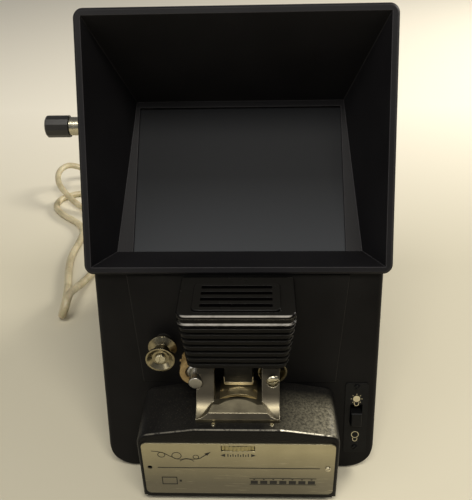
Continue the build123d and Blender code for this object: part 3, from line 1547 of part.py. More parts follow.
# Mirrors: the picture goes down from the lens, back to the rear mirror and up to the screen
screen_center = Vector(0, screen_center_y, screen_center_z)
base_center = Vector(0, film_y, base_mirror_z)
rear_center = screen_center - screen_plane.z_dir * screen_throw
along_base = (rear_center - base_center).normalized()
rear_normal = (screen_plane.z_dir - along_base).normalized()
base_normal = (along_base + Vector(0, 0, 1)).normalized()
rear_mirror_plane = Plane(origin=rear_center, x_dir=(1, 0, 0), z_dir=rear_normal)
base_mirror_plane = Plane(origin=base_center, x_dir=(1, 0, 0), z_dir=base_normal)
pivot = rear_center - rear_normal * pivot_behind
toward_framing = Vector(0, framing_y, framing_z) - pivot
arm_reach = toward_framing.length
arm_turn = degrees(atan2(toward_framing.Z, toward_framing.Y))
stand_inner = rear_mirror_width / 2 + 6
pin_end = stand_inner + stand_thickness
print("pivot", pivot, "arm reach", arm_reach)

with BuildPart() as base_mirror:
    with BuildSketch(base_mirror_plane):
        Rectangle(base_mirror_width, base_mirror_length)
    extrude(amount=-mirror_glass)
base_mirror.part.label = "base_mirror"
export_step(base_mirror.part, "parts/base_mirror.step")

with BuildPart() as base_mirror_bracket:
    low_front = base_mirror_plane.from_local_coords(Vector(0, base_mirror_length / 2, -mirror_glass))
    low_back = base_mirror_plane.from_local_coords(Vector(0, -base_mirror_length / 2, -mirror_glass))
    with BuildSketch(Plane.YZ.offset(-base_mirror_width / 2)):
        with BuildLine():
            Polyline(
                (low_back.Y, low_back.Z),
                (low_front.Y, low_front.Z),
                (low_front.Y, foot_height),
                (low_back.Y, foot_height),
                close=True,
            )
        make_face()
    extrude(amount=base_mirror_width)
base_mirror_bracket.part.label = "base_mirror_bracket"
export_step(base_mirror_bracket.part, "parts/base_mirror_bracket.step")
print("base mirror bracket", base_mirror_bracket.part.is_valid)

with BuildPart() as rear_mirror:
    with BuildSketch(rear_mirror_plane):
        Rectangle(rear_mirror_width, rear_mirror_height)
    extrude(amount=-mirror_glass)
rear_mirror.part.label = "rear_mirror"
export_step(rear_mirror.part, "parts/rear_mirror.step")

# The cradle behind the rear mirror turns on two pins; the left one is long and carries the framing arm
with BuildPart() as mirror_cradle:
    with BuildSketch(rear_mirror_plane.offset(-mirror_glass)):
        Rectangle(rear_mirror_width + 4, rear_mirror_height + 4)
    extrude(amount=-cradle_thickness)
    for side in (-1, 1):
        with BuildSketch(Plane.YZ.offset(side * (stand_inner - 1))):
            with Locations((pivot.Y, pivot.Z)):
                Circle(pivot_radius + 1.5)
        extrude(amount=-side * 6)
    with BuildSketch(Plane.YZ.offset(pin_end)):
        with Locations((pivot.Y, pivot.Z)):
            Circle(pivot_radius)
    extrude(amount=-7)
    with BuildSketch(Plane.YZ.offset(arm_x - arm_thickness)):
        with Locations((pivot.Y, pivot.Z)):
            Circle(pivot_radius)
    extrude(amount=-arm_x + arm_thickness - stand_inner + 5)
    split(bisect_by=rear_mirror_plane.offset(-mirror_glass), keep=Keep.BOTTOM)
mirror_cradle.part.label = "mirror_cradle"
export_step(mirror_cradle.part, "parts/mirror_cradle.step")
print("cradle", mirror_cradle.part.is_valid, len(mirror_cradle.solids()))

with BuildPart() as mirror_stand:
    with BuildSketch(Plane.XY.offset(base_top_z)):
        with Locations((0, pivot.Y)):
            Rectangle(2 * pin_end, stand_depth)
    extrude(amount=cradle_thickness)
    for side in (-1, 1):
        with BuildSketch(Plane.YZ.offset(side * stand_inner)):
            with BuildLine():
                half = stand_depth / 2
                Line((pivot.Y - half, pivot.Z), (pivot.Y - half, base_top_z))
                Line((pivot.Y - half, base_top_z), (pivot.Y + half, base_top_z))
                Line((pivot.Y + half, base_top_z), (pivot.Y + half, pivot.Z))
                round_top = (pivot.Y, pivot.Z + half)
                ThreePointArc((pivot.Y + half, pivot.Z), round_top, (pivot.Y - half, pivot.Z))
            make_face()
            with Locations((pivot.Y, pivot.Z)):
                Circle(pivot_radius + running_clearance, mode=Mode.SUBTRACT)
        extrude(amount=side * stand_thickness)
mirror_stand.part.label = "mirror_stand"
export_step(mirror_stand.part, "parts/mirror_stand.step")

with BuildPart() as framing_arm:
    arm_plane = Plane(
        origin=(arm_x - arm_thickness, pivot.Y, pivot.Z),
        x_dir=(0, cos(radians(arm_turn)), sin(radians(arm_turn))),
        z_dir=(1, 0, 0),
    )
    pin_far = arm_reach - crank_throw * cos(radians(framing_swing))
    slot_middle = (arm_reach - crank_throw + pin_far) / 2
    slot_clear = 2 * (crank_pin_radius + arm_slot_play)
    with BuildSketch(arm_plane):
        Circle(arm_hub_radius)
        with Locations((slot_middle / 2, 0)):
            Rectangle(slot_middle, arm_width)
        with Locations((slot_middle, 0)):
            Circle(arm_hub_radius + 1)
            slot_reach = pin_far - arm_reach + crank_throw + slot_clear + 0.4
            SlotOverall(slot_reach, slot_clear, mode=Mode.SUBTRACT)
        Circle(pivot_radius, mode=Mode.SUBTRACT)
    extrude(amount=arm_thickness)
framing_arm.part.label = "framing_arm"
export_step(framing_arm.part, "parts/framing_arm.step")
print("arm", framing_arm.part.is_valid, len(framing_arm.solids()), framing_arm.part.bounding_box())

# Framing shaft through the left side with its crank inside, its bush and the knob outside
side_x = -body_width / 2
shaft_end = -framing_bush_end
with BuildPart() as framing_shaft:
    with BuildSketch(Plane.YZ.offset(crank_x)):
        with Locations((framing_y, framing_z)):
            Circle(crank_radius)
    extrude(amount=-crank_thickness)
    with BuildSketch(Plane.YZ.offset(crank_x - crank_thickness)):
        with Locations((framing_y, framing_z)):
            Circle(2 * pin_radius)
    extrude(amount=shaft_end - crank_x + crank_thickness - knob_length / 2)
    with BuildSketch(Plane.YZ.offset(crank_x)):
        with Locations((
            framing_y - crank_throw * cos(radians(arm_turn)),
            framing_z - crank_throw * sin(radians(arm_turn)),
        )):
            Circle(crank_pin_radius)
    extrude(amount=arm_x - crank_x + seam)
framing_shaft.part.label = "framing_shaft"
export_step(framing_shaft.part, "parts/framing_shaft.step")
print("framing shaft", framing_shaft.part.is_valid, len(framing_shaft.solids()))

with BuildPart() as framing_bush:
    with BuildSketch(Plane.YZ.offset(side_x + wall)):
        with Locations((framing_y, framing_z)):
            Circle(framing_bush_radius)
    extrude(amount=shaft_end + end_play - side_x - wall)
    with BuildSketch(Plane.YZ.offset(side_x)):
        with Locations((framing_y, framing_z)):
            Circle(framing_bush_radius + 1.6)
    extrude(amount=-1.2)
    with BuildSketch(Plane.YZ.offset(side_x + wall)):
        with Locations((framing_y, framing_z)):
            Circle(2 * pin_radius + running_clearance)
    extrude(amount=shaft_end - side_x - wall, mode=Mode.SUBTRACT)
framing_bush.part.label = "framing_bush"
export_step(framing_bush.part, "parts/framing_bush.step")

with BuildPart() as framing_knob:
    with BuildSketch(Plane.YZ.offset(shaft_end)):
        with Locations((framing_y, framing_z)):
            RegularPolygon(knob_radius, 12)
    extrude(amount=-knob_length)
    chamfer(framing_knob.faces().sort_by(Axis.X)[0].edges(), 0.8)
    with BuildSketch(Plane.YZ.offset(shaft_end)):
        with Locations((framing_y, framing_z)):
            Circle(2 * pin_radius)
    extrude(amount=-knob_length / 2, mode=Mode.SUBTRACT)
framing_knob.part.label = "framing_knob"
export_step(framing_knob.part, "parts/framing_knob.step")
print("bush, knob", framing_bush.part.is_valid, framing_knob.part.is_valid)

# Cord gland in the rear wall, tapering to the cord
gland_end_y = rear_y + gland_length
with BuildPart() as cord_gland:
    with BuildSketch(Plane.YZ.offset(gland_x)):
        with BuildLine():
            Polyline(
                (rear_y - wall - 3, gland_z),
                (rear_y - wall - 3, gland_z + gland_flange),
                (rear_y - wall, gland_z + gland_flange),
                (rear_y - wall, gland_z + gland_neck),
                (rear_y, gland_z + gland_neck),
                (rear_y, gland_z + gland_flange),
                (rear_y + 2, gland_z + gland_flange),
                (rear_y + 3, gland_z + gland_neck),
                (gland_end_y, gland_z + cord_radius + 0.6),
                (gland_end_y, gland_z),
                close=True,
            )
        make_face()
    revolve(axis=Axis((gland_x, 0, gland_z), (0, 1, 0)))
cord_gland.part.label = "cord_gland"
export_step(cord_gland.part, "parts/cord_gland.step")

# Cord: down behind the body, two loose curls on the table, forward to a fold and back to the coil
coil_lead = 2 * cord_radius
cord_points = [
    (gland_x, gland_end_y, gland_z),
    (-58, 140, 80),
    (-62, 160, 73),
    (-70, 182, 57),
    (-82, 208, 37),
    (-93, 239, 19),
    (-110, 267, 9),
    (-139, 285, 9),
    (-173, 284, 16),
    (-193, 285, 24),
    (-202, 271, 23),
    (-199, 252, 18),
    (-187, 237, 12),
    (-171, 223, 5),
    (-151, 211, 3),
    (-128, 214, 3),
    (-115, 235, 3),
    (-130, 256, 3),
    (-162, 261, 3),
    (-193, 251, 3),
    (-199, 229, 3),
    (-184, 208, 3),
    (-166, 194, 3),
    (-156, 178, 3),
    (-156, 156, 3),
    (-158, 134, 3),
    (-154.5, 110, 3),
    (-149, 86, 3),
    (-146, 69, 3),
    (-144.8, 57, 3),
    (-143.5, 44, 3.2),
    (-137.5, 40, 14.6),
    (-137.2, 53, 19.6),
    (-137, 69, 13),
    (-136, 87, 6),
    (-132, 108, 3),
    (-123, 132, 3),
    (-106, 153, 3),
    (-81, 170, 3),
    (-50, 182, 3),
    (-14, coil_center_y + coil_start_radius, cord_radius),
    (coil_center_x - coil_lead, coil_center_y + coil_start_radius, cord_radius),
]


def corner_radii(points):
    """The radius of the arc at each corner of a path, as large as its two runs allow."""
    radii = []
    for before, corner, after in zip(points, points[1:], points[2:]):
        first = Vector(*corner) - Vector(*before)
        second = Vector(*after) - Vector(*corner)
        turn = radians(first.get_angle(second))
        radii.append(0.45 * min(first.length, second.length) / tan(turn / 2))
    return radii


cord_bends = corner_radii(cord_points)
with BuildPart() as cord_tube:
    with BuildLine() as cord_route:
        FilletPolyline(*cord_points, radius=cord_bends)
    with BuildSketch(Plane(origin=cord_route.line @ 0, z_dir=cord_route.line % 0)):
        Circle(cord_radius)
    sweep()
cord_tube.part.label = "cord_tube"
export_step(cord_tube.part, "parts/cord_tube.step")
cord_length = cord_route.wire().length
cord_share = cord_tube.part.volume / (pi * cord_radius**2 * cord_length)
print("cord radii", [round(bend, 1) for bend in cord_bends])
print("cord length", round(cord_length, 1), "volume over section times length", round(cord_share, 4))

# Cord coil: turns that spiral in on the table, climb a layer and spiral out again
quarter_count = quarters_in + quarters_back + quarters_out


def coil_point(quarter):
    """The coil's middle line after a number of quarter turns, with its direction there."""
    climb = min(max(quarter - quarters_in, 0), quarters_back) / quarters_back
    inward = min(quarter, quarters_in) + 2 * climb * (1 - climb)
    outward = max(quarter - quarters_in - quarters_back, 0)
    reach = coil_start_radius + (outward - inward) * coil_pitch / 4
    turn = radians(90 - 90 * quarter)
    height = cord_radius + climb * coil_pitch
    place = Vector(coil_center_x + reach * cos(turn), coil_center_y + reach * sin(turn), height)
    return place, Vector(sin(turn), -cos(turn), 0)


with BuildPart() as cord_coil:
    with BuildLine() as coil_route:
        first_place, first_heading = coil_point(0)
        Line(first_place - first_heading * coil_lead, first_place)
        for quarter in range(quarter_count):
            start, heading = coil_point(quarter)
            finish, leaving = coil_point(quarter + 1)
            gap = finish - start
            along = gap.dot(heading + leaving)
            spread = 2 * (1 - heading.dot(leaving))
            reach = (-along + sqrt(along**2 + spread * gap.dot(gap))) / spread
            middle = (start + finish + (heading - leaving) * reach) / 2
            TangentArc(start, middle, tangent=heading)
            TangentArc(middle, finish, tangent=-leaving, tangent_from_first=False)
        Line(finish, finish + leaving * tail_length)
    coil_wire = Wire.combine(coil_route.edges(), tol=0.001)[0]
    with BuildSketch(Plane(origin=coil_wire @ 0, z_dir=coil_wire % 0)):
        Circle(cord_radius)
    sweep(path=coil_wire)
cord_coil.part.label = "cord_coil"
export_step(cord_coil.part, "parts/cord_coil.step")

samples = 700
along_coil = [coil_wire @ (step / samples) for step in range(samples + 1)]
step_length = coil_wire.length / samples
apart = int(6 * cord_radius / step_length)
least = min(
    (along_coil[near] - along_coil[far]).length
    for near in range(0, samples + 1, 2)
    for far in range(near + apart, samples + 1)
)
print("coil length", round(coil_wire.length, 1), "least gap to itself", round(least - 2 * cord_radius, 2))
print("coil", cord_coil.part.is_valid, len(cord_coil.solids()), cord_coil.part.volume)

# Plug at the cord's end, lying flat beside the coil
plug_start = finish + leaving * tail_length
plug_plane = Plane(origin=(plug_start.X, plug_start.Y, plug_height / 2), x_dir=(0, 1, 0), z_dir=(-1, 0, 0))
with BuildPart() as plug:
    with BuildSketch(plug_plane):
        RectangleRounded(plug_waist, plug_height, plug_height / 2 - 1)
    with BuildSketch(plug_plane.offset(plug_length * 0.35)):
        RectangleRounded(plug_width, plug_height, plug_height / 2 - 1)
    loft(ruled=True)
    with BuildSketch(plug_plane.offset(plug_length * 0.35)):
        RectangleRounded(plug_width, plug_height, plug_height / 2 - 1)
    extrude(amount=plug_length * 0.65)
plug.part.label = "plug"
export_step(plug.part, "parts/plug.step")

with BuildPart() as plug_pins:
    with BuildSketch(plug_plane.offset(plug_length)):
        with GridLocations(pin_spacing, 0, 2, 1):
            Circle(plug_pin_radius)
    extrude(amount=plug_pin_length)
    fillet(plug_pins.faces().sort_by(Axis.X)[:2].edges(), plug_pin_radius / 2)
plug_pins.part.label = "plug_pins"
export_step(plug_pins.part, "parts/plug_pins.step")
print("plug", plug.part.is_valid, len(plug.solids()), plug_pins.part.is_valid)
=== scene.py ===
from math import cos, radians, sin, tan

import bmesh
import bpy
from mathutils import Matrix, Vector


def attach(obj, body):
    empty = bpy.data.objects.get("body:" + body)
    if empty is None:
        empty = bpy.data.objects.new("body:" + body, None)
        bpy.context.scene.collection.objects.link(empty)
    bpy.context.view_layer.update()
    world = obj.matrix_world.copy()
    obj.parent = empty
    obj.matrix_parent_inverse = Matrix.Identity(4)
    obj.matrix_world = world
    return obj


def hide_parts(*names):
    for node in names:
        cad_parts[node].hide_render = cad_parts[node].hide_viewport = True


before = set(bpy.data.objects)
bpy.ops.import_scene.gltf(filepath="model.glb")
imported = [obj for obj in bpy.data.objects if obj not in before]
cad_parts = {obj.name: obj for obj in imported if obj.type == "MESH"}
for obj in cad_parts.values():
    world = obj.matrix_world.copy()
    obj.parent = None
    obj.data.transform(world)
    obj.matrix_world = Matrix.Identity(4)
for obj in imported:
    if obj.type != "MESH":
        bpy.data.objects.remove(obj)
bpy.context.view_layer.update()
mm = 0.001

# Places on the viewer, in millimetres, as the construction has them
face_foot_y = -96.0
face_lean = radians(13.1)
plate_front_y = -120.0
film_y = -87.7


def face_y(z):
    """The leaning front face's depth at a height."""
    return face_foot_y + tan(face_lean) * z


# Camera, where the photograph was taken: above the nose, looking down into the hood
camera_place = Vector((12.6, -355.9, 315.5)) * mm
camera_down = radians(32.07)
camera_turn = radians(2.6)
camera_roll = radians(-1.58)
focal_pixels = 653.5
frame_height = 500

camera_data = bpy.data.cameras.new("camera")
camera_data.sensor_fit = "VERTICAL"
camera_data.sensor_height = 36.0
camera_data.lens = focal_pixels * camera_data.sensor_height / frame_height
camera_data.clip_start = 0.01
camera = bpy.data.objects.new("camera", camera_data)
level_right = Vector((cos(camera_turn), sin(camera_turn), 0))
level_ahead = Vector((-sin(camera_turn), cos(camera_turn), 0))
look = level_ahead * cos(camera_down) - Vector((0, 0, 1)) * sin(camera_down)
level_up = level_ahead * sin(camera_down) + Vector((0, 0, 1)) * cos(camera_down)
right = level_right * cos(camera_roll) + level_up * sin(camera_roll)
up = level_up * cos(camera_roll) - level_right * sin(camera_roll)
camera.matrix_world = Matrix.Translation(camera_place) @ Matrix((right, up, -look)).transposed().to_4x4()
bpy.context.scene.collection.objects.link(camera)
bpy.context.scene.camera = camera
bpy.context.scene.view_settings.view_transform = "Standard"


def linear(code):
    """An sRGB hex colour as the linear values that a shader takes."""
    parts = [int(code[place:place + 2], 16) / 255 for place in (1, 3, 5)]
    return [part / 12.92 if part <= 0.04045 else ((part + 0.055) / 1.055) ** 2.4 for part in parts] + [1.0]


def add(tree, kind, values=None, links=None, **settings):
    """A node with its settings, its sockets' values and the sockets that feed it."""
    node = tree.nodes.new(kind)
    for name, value in settings.items():
        setattr(node, name, value)
    for name, value in (values or {}).items():
        node.inputs[name].default_value = value
    for name, source in (links or {}).items():
        tree.links.new(source, node.inputs[name])
    return node


def finish(name, colour, **sockets):
    """A new material with one plain surface shader, its tree and that shader."""
    material = bpy.data.materials.new(name)
    material.use_nodes = True
    tree = material.node_tree
    shader = tree.nodes["Principled BSDF"]
    shader.inputs["Base Color"].default_value = linear(colour)
    for socket, value in sockets.items():
        shader.inputs[socket.replace("_", " ")].default_value = value
    return material, tree, shader


def into(obj):
    """Puts a new object in the scene."""
    bpy.context.scene.collection.objects.link(obj)
    return obj


# Cord: vinyl mains lead, from the gland down behind the body, round its curls and into the put-away coil
cord_radius = 3.0
cord_start = (-58, 122, 80)
cord_points = [
    (-58, 140, 80),
    (-62, 160, 73),
    (-70, 182, 57),
    (-82, 208, 37),
    (-93, 239, 19),
    (-110, 267, 9),
    (-139, 285, 9),
    (-173, 284, 16),
    (-193, 285, 24),
    (-202, 271, 23),
    (-199, 252, 18),
    (-187, 237, 12),
    (-171, 223, 5),
    (-151, 211, 3),
    (-128, 214, 3),
    (-115, 235, 3),
    (-130, 256, 3),
    (-162, 261, 3),
    (-193, 251, 3),
    (-199, 229, 3),
    (-184, 208, 3),
    (-166, 194, 3),
    (-156, 178, 3),
    (-156, 156, 3),
    (-158, 134, 3),
    (-154.5, 110, 3),
    (-149, 86, 3),
    (-146, 69, 3),
    (-144.8, 57, 3),
    (-143.5, 44, 3.2),
    (-137.5, 40, 14.6),
    (-137.2, 53, 19.6),
    (-137, 69, 13),
    (-136, 87, 6),
    (-132, 108, 3),
    (-123, 132, 3),
    (-106, 153, 3),
    (-81, 170, 3),
    (-50, 182, 3),
    (-14, 192.9, 3),
]
coil_center = (30.0, 156.0)
coil_start_radius = 36.9
coil_pitch = 6.75
quarters_in = 7
quarters_back = 2
quarters_out = 9
points_per_turn = 16
tail_length = 36.0


def coil_point(quarter):
    """A point of the coil after a number of quarter turns: in on the table, up a layer and out again."""
    climb = min(max(quarter - quarters_in, 0), quarters_back) / quarters_back
    inward = min(quarter, quarters_in) + 2 * climb * (1 - climb)
    outward = max(quarter - quarters_in - quarters_back, 0)
    reach = coil_start_radius + (outward - inward) * coil_pitch / 4
    turn = radians(90 - 90 * quarter)
    height = cord_radius + climb * coil_pitch
    return (coil_center[0] + reach * cos(turn), coil_center[1] + reach * sin(turn), height)


quarter_count = quarters_in + quarters_back + quarters_out
steps = quarter_count * points_per_turn // 4
coil_points = [coil_point(4 * step / points_per_turn) for step in range(steps + 1)]
coil_end = coil_points[-1]
tail_points = [(coil_end[0] - tail_length * share, coil_end[1], coil_end[2]) for share in (0.5, 1.0)]


def tube(name, points, radius):
    """A round cord whose smooth line has these points as its control points, in millimetres."""
    curve = bpy.data.curves.new(name, "CURVE")
    curve.dimensions = "3D"
    curve.bevel_depth = 1.0
    curve.bevel_resolution = 5
    curve.resolution_u = 10
    curve.use_fill_caps = True
    spline = curve.splines.new("NURBS")
    spline.points.add(len(points) - 1)
    for point, place in zip(spline.points, points):
        point.co = (*(part * mm for part in place), 1.0)
        point.radius = radius * mm
    spline.order_u = 3
    spline.use_endpoint_u = True
    return into(bpy.data.objects.new(name, curve))


cord = tube("mains_cord", [cord_start, *cord_points, *coil_points, *tail_points], cord_radius)
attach(cord, "viewer")
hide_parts("cord_tube", "cord_coil")

bevel_samples = 6


def grain(size):
    """The scale of a pattern whose grains are this many millimetres apart."""
    return 1000 / size


def bump(tree, shader, height, depth, corner=0.0):
    """Raises the surface by a pattern, as deep as so many millimetres, and rounds its corners if asked."""
    relief = add(tree, "ShaderNodeBump", {"Distance": depth * mm, "Strength": 1.0}, {"Height": height})
    if corner:
        rounded = add(tree, "ShaderNodeBevel", {"Radius": corner * mm}, samples=bevel_samples)
        tree.links.new(rounded.outputs["Normal"], relief.inputs["Normal"])
    tree.links.new(relief.outputs["Normal"], shader.inputs["Normal"])


def place_of(tree):
    """Where a point of the surface lies on the viewer, in metres."""
    return add(tree, "ShaderNodeTexCoord").outputs["Object"]


def noise(tree, size, detail=3.0, roughness=0.5):
    """A cloudy pattern whose patches are this many millimetres apart."""
    values = {"Scale": grain(size), "Detail": detail, "Roughness": roughness}
    return add(tree, "ShaderNodeTexNoise", values, {"Vector": place_of(tree)}).outputs["Fac"]


def spread(tree, source, low, high, to_low=0.0, to_high=1.0):
    """A value stretched from one range to another and kept inside it."""
    values = {"From Min": low, "From Max": high, "To Min": to_low, "To Max": to_high}
    return add(tree, "ShaderNodeMapRange", values, {"Value": source}).outputs["Result"]


def blend(tree, share, low, high):
    """A colour between two others, each a hex colour or a colour worked out before."""
    mix = add(tree, "ShaderNodeMix", data_type="RGBA")
    tree.links.new(share, mix.inputs["Factor"])
    for socket, colour in (("A", low), ("B", high)):
        if isinstance(colour, str):
            mix.inputs[socket].default_value = linear(colour)
        else:
            tree.links.new(colour, mix.inputs[socket])
    return mix.outputs["Result"]


def both(tree, first, second):
    """Two shares multiplied, which is high only where both are."""
    product = add(tree, "ShaderNodeMath", operation="MULTIPLY")
    tree.links.new(first, product.inputs[0])
    tree.links.new(second, product.inputs[1])
    return product.outputs["Value"]


def either(tree, first, second):
    """The larger of two shares, which is high where one of them is."""
    larger = add(tree, "ShaderNodeMath", operation="MAXIMUM")
    tree.links.new(first, larger.inputs[0])
    tree.links.new(second, larger.inputs[1])
    return larger.outputs["Value"]


# Edge mask: the hood uses it for rubbed rims, the other finishes for a painted highlight on their edges
def edge_wear_and_highlight(tree, width):
    """Where the surface turns over an edge: near 1 on the edge and 0 on the flats beside it."""
    bevel = add(tree, "ShaderNodeBevel", {"Radius": width * mm}, samples=bevel_samples)
    rounded = bevel.outputs["Normal"]
    flat = add(tree, "ShaderNodeNewGeometry").outputs["Normal"]
    same = add(tree, "ShaderNodeVectorMath", operation="DOT_PRODUCT")
    tree.links.new(rounded, same.inputs[0])
    tree.links.new(flat, same.inputs[1])
    return spread(tree, same.outputs["Value"], 0.995, 0.9)


def turned_to(tree, direction, low, high):
    """Where the surface faces a direction: near 1 where it does and 0 where it looks elsewhere."""
    facing = add(tree, "ShaderNodeVectorMath", operation="DOT_PRODUCT")
    tree.links.new(add(tree, "ShaderNodeNewGeometry").outputs["Normal"], facing.inputs[0])
    facing.inputs[1].default_value = Vector(direction).normalized()
    return spread(tree, facing.outputs["Value"], low, high)


def moulded_phenolic():
    """Black phenolic moulding: nearly dead black, a soft low sheen, and a grey painted highlight on its
    edges.
    """
    material, tree, shader = finish("moulded_phenolic", "#0d0c0c", Roughness=0.46, Specular_IOR_Level=0.12)
    flow = noise(tree, 28, 4.0)
    body = blend(tree, spread(tree, flow, 0.35, 0.7), "#0c0b0b", "#141312")
    # Painted highlight: the edges paler grey, as where they catch the light
    edge_highlight = spread(tree, edge_wear_and_highlight(tree, 0.6), 0.2, 1.0, 0.0, 0.8)
    tree.links.new(blend(tree, edge_highlight, body, "#33312d"), shader.inputs["Base Color"])
    tree.links.new(spread(tree, flow, 0.3, 0.7, 0.4, 0.54), shader.inputs["Roughness"])
    bump(tree, shader, noise(tree, 0.7, 2.0), 0.02, corner=0.5)
    return material


def grained_plastic():
    """Black ABS moulded in a spark-eroded tool: a fine grain that breaks up the shine, with rubbed rims."""
    material, tree, shader = finish("grained_plastic", "#131214", Roughness=0.58, Specular_IOR_Level=0.2)
    body = blend(tree, spread(tree, noise(tree, 45, 5.0), 0.35, 0.75), "#111012", "#1a191b")
    dust = spread(tree, noise(tree, 0.8, 4.0, 0.7), 0.66, 0.78, 0.0, 0.5)
    dusty = blend(tree, dust, body, "#39383a")
    edged = blend(tree, spread(tree, edge_wear_and_highlight(tree, 0.8), 0.2, 1.0, 0.0, 0.8), dusty, "#413f41")
    tree.links.new(edged, shader.inputs["Base Color"])
    bump(tree, shader, noise(tree, 0.9, 3.0, 0.6), 0.05, corner=0.6)
    return material


def crackle_enamel():
    """Black wrinkle enamel on a zinc casting: small hard pimples with painted highlights on their tops, a
    grey painted sheen on the right shoulder, darker front faces, and worn to bare metal along the front's top
    edge."""
    material, tree, shader = finish("crackle_enamel", "#141312", Roughness=0.42, Specular_IOR_Level=0.14)
    where = add(tree, "ShaderNodeSeparateXYZ", links={"Vector": place_of(tree)}).outputs
    pimples = add(
        tree, "ShaderNodeTexVoronoi", {"Scale": grain(0.8)}, {"Vector": place_of(tree)}, feature="SMOOTH_F1"
    ).outputs["Distance"]
    paint = blend(tree, spread(tree, noise(tree, 24), 0.3, 0.7), "#100f0e", "#1c1b19")
    upward = turned_to(tree, (0, 0, 1), 0.55, 0.85)
    # Painted highlight: the pimples' tops paler, most on upward faces, as a sheen where they catch the light
    lit_pimple_tops = both(tree, spread(tree, pimples, 0.25, 0.05, 0.0, 0.5), spread(tree, upward, 0.0, 1.0, 0.06, 1.0))
    # Darker on faces turned to the front
    darker_front = blend(tree, turned_to(tree, (0, -1, 0), 0.75, 0.95), paint, "#070606")
    pimple_sheen = blend(tree, lit_pimple_tops, darker_front, "#4a463d")
    # Painted sheen: upward faces of the right shoulder paler grey, where the light from the right falls
    forward = spread(tree, where["Y"], -88 * mm, -102 * mm)
    shoulder = both(tree, both(tree, upward, forward), spread(tree, where["X"], 12 * mm, 50 * mm))
    shoulder_sheen_share = both(tree, shoulder, spread(tree, noise(tree, 1.4, 5.0, 0.75), 0.36, 0.62, 0.15, 1.0))
    with_shoulder_sheen = blend(tree, shoulder_sheen_share, pimple_sheen, "#8a8470")
    right_hand = spread(tree, where["X"], 17 * mm, 23 * mm, 0.2, 1.0)
    left_hand = spread(tree, where["X"], -40 * mm, -15 * mm, 0.75, 1.0)
    high = spread(tree, where["Z"], 49 * mm, 51 * mm)
    edge = both(tree, turned_to(tree, (0, -0.6, 0.8), 0.93, 0.985), high)
    chips = spread(tree, noise(tree, 3.0, 5.0, 0.7), 0.36, 0.5)
    bare = both(tree, both(tree, edge, chips), both(tree, right_hand, left_hand))
    tree.links.new(blend(tree, bare, with_shoulder_sheen, "#d8d1bd"), shader.inputs["Base Color"])
    tree.links.new(spread(tree, bare, 0.0, 1.0, 0.0, 0.8), shader.inputs["Metallic"])
    bump(tree, shader, pimples, 0.1, corner=0.5)
    return material


def satin_aluminium():
    """Aluminium sheet, glass blasted and anodised: a pearly face with fine grain and a few hairline
    scratches, darker low down with painted shade."""
    material, tree, shader = finish("satin_aluminium", "#968e78", Metallic=1.0, Roughness=0.42)
    pearl = noise(tree, 0.45, 2.0)
    streak = add(tree, "ShaderNodeMapping", {"Scale": (1.0, 1.0, 14.0)}, {"Vector": place_of(tree)})
    along = {"Vector": streak.outputs["Vector"]}
    hair = add(tree, "ShaderNodeTexNoise", {"Scale": grain(9), "Detail": 6.0}, along).outputs["Fac"]
    where = add(tree, "ShaderNodeSeparateXYZ", links={"Vector": place_of(tree)}).outputs
    cloudy = blend(tree, spread(tree, noise(tree, 26, 4.0), 0.3, 0.7), "#a49d82", "#b6ae92")
    # Painted shade: the plate darker low down
    painted_shade_low = blend(tree, spread(tree, where["Z"], 42 * mm, 16 * mm), cloudy, "#7c786c")
    scratched = blend(tree, spread(tree, hair, 0.62, 0.72, 0.0, 0.5), painted_shade_low, "#b9b29c")
    tree.links.new(scratched, shader.inputs["Base Color"])
    tree.links.new(spread(tree, pearl, 0.3, 0.7, 0.34, 0.48), shader.inputs["Roughness"])
    bump(tree, shader, pearl, 0.012, corner=0.25)
    return material


def nickelled_casting():
    """Zinc die casting, tumbled and satin nickelled: soft sheen, slightly pitted, with painted shade on the
    faces turned to the front and up, and a painted highlight on its edges.
    """
    material, tree, shader = finish("nickelled_casting", "#a69f90", Metallic=1.0, Roughness=0.36)
    cloud = noise(tree, 9, 4.0)
    body = blend(tree, spread(tree, cloud, 0.3, 0.7), "#746d5b", "#8f8770")
    # Painted shade: faces turned to the front and up darker
    painted_light_tone = blend(tree, turned_to(tree, (0, -0.8, 0.6), 0.94, 0.985), body, "#5d574a")
    # Painted highlight: the edges paler, as where they catch the light
    edged = blend(tree, spread(tree, edge_wear_and_highlight(tree, 0.4), 0.0, 1.0, 0.0, 0.6), painted_light_tone, "#c9c1ab")
    tree.links.new(edged, shader.inputs["Base Color"])
    tree.links.new(spread(tree, cloud, 0.3, 0.7, 0.36, 0.48), shader.inputs["Roughness"])
    bump(tree, shader, noise(tree, 0.7, 4.0), 0.03, corner=0.7)
    return material


def turned_metal(name, colour, roughness, ring, across, axis_place):
    """Metal turned on a lathe: fine rings about its own axis, which runs front to back."""
    material, tree, shader = finish(name, colour, Metallic=1.0, Roughness=roughness)
    shifted = add(tree, "ShaderNodeVectorMath", operation="SUBTRACT")
    tree.links.new(place_of(tree), shifted.inputs[0])
    shifted.inputs[1].default_value = [part * mm for part in axis_place]
    flat = add(tree, "ShaderNodeVectorMath", operation="MULTIPLY")
    tree.links.new(shifted.outputs["Vector"], flat.inputs[0])
    flat.inputs[1].default_value = across
    reach = add(tree, "ShaderNodeVectorMath", operation="LENGTH")
    tree.links.new(flat.outputs["Vector"], reach.inputs[0])
    rings = add(tree, "ShaderNodeTexNoise", {"Scale": grain(ring), "Detail": 2.0}, noise_dimensions="1D")
    tree.links.new(reach.outputs["Value"], rings.inputs["W"])
    tarnish = blend(tree, spread(tree, noise(tree, 2.2, 4.0), 0.4, 0.7), colour, "#7d745d")
    tree.links.new(tarnish, shader.inputs["Base Color"])
    bump(tree, shader, rings.outputs["Fac"], 0.012, corner=0.3)
    return material


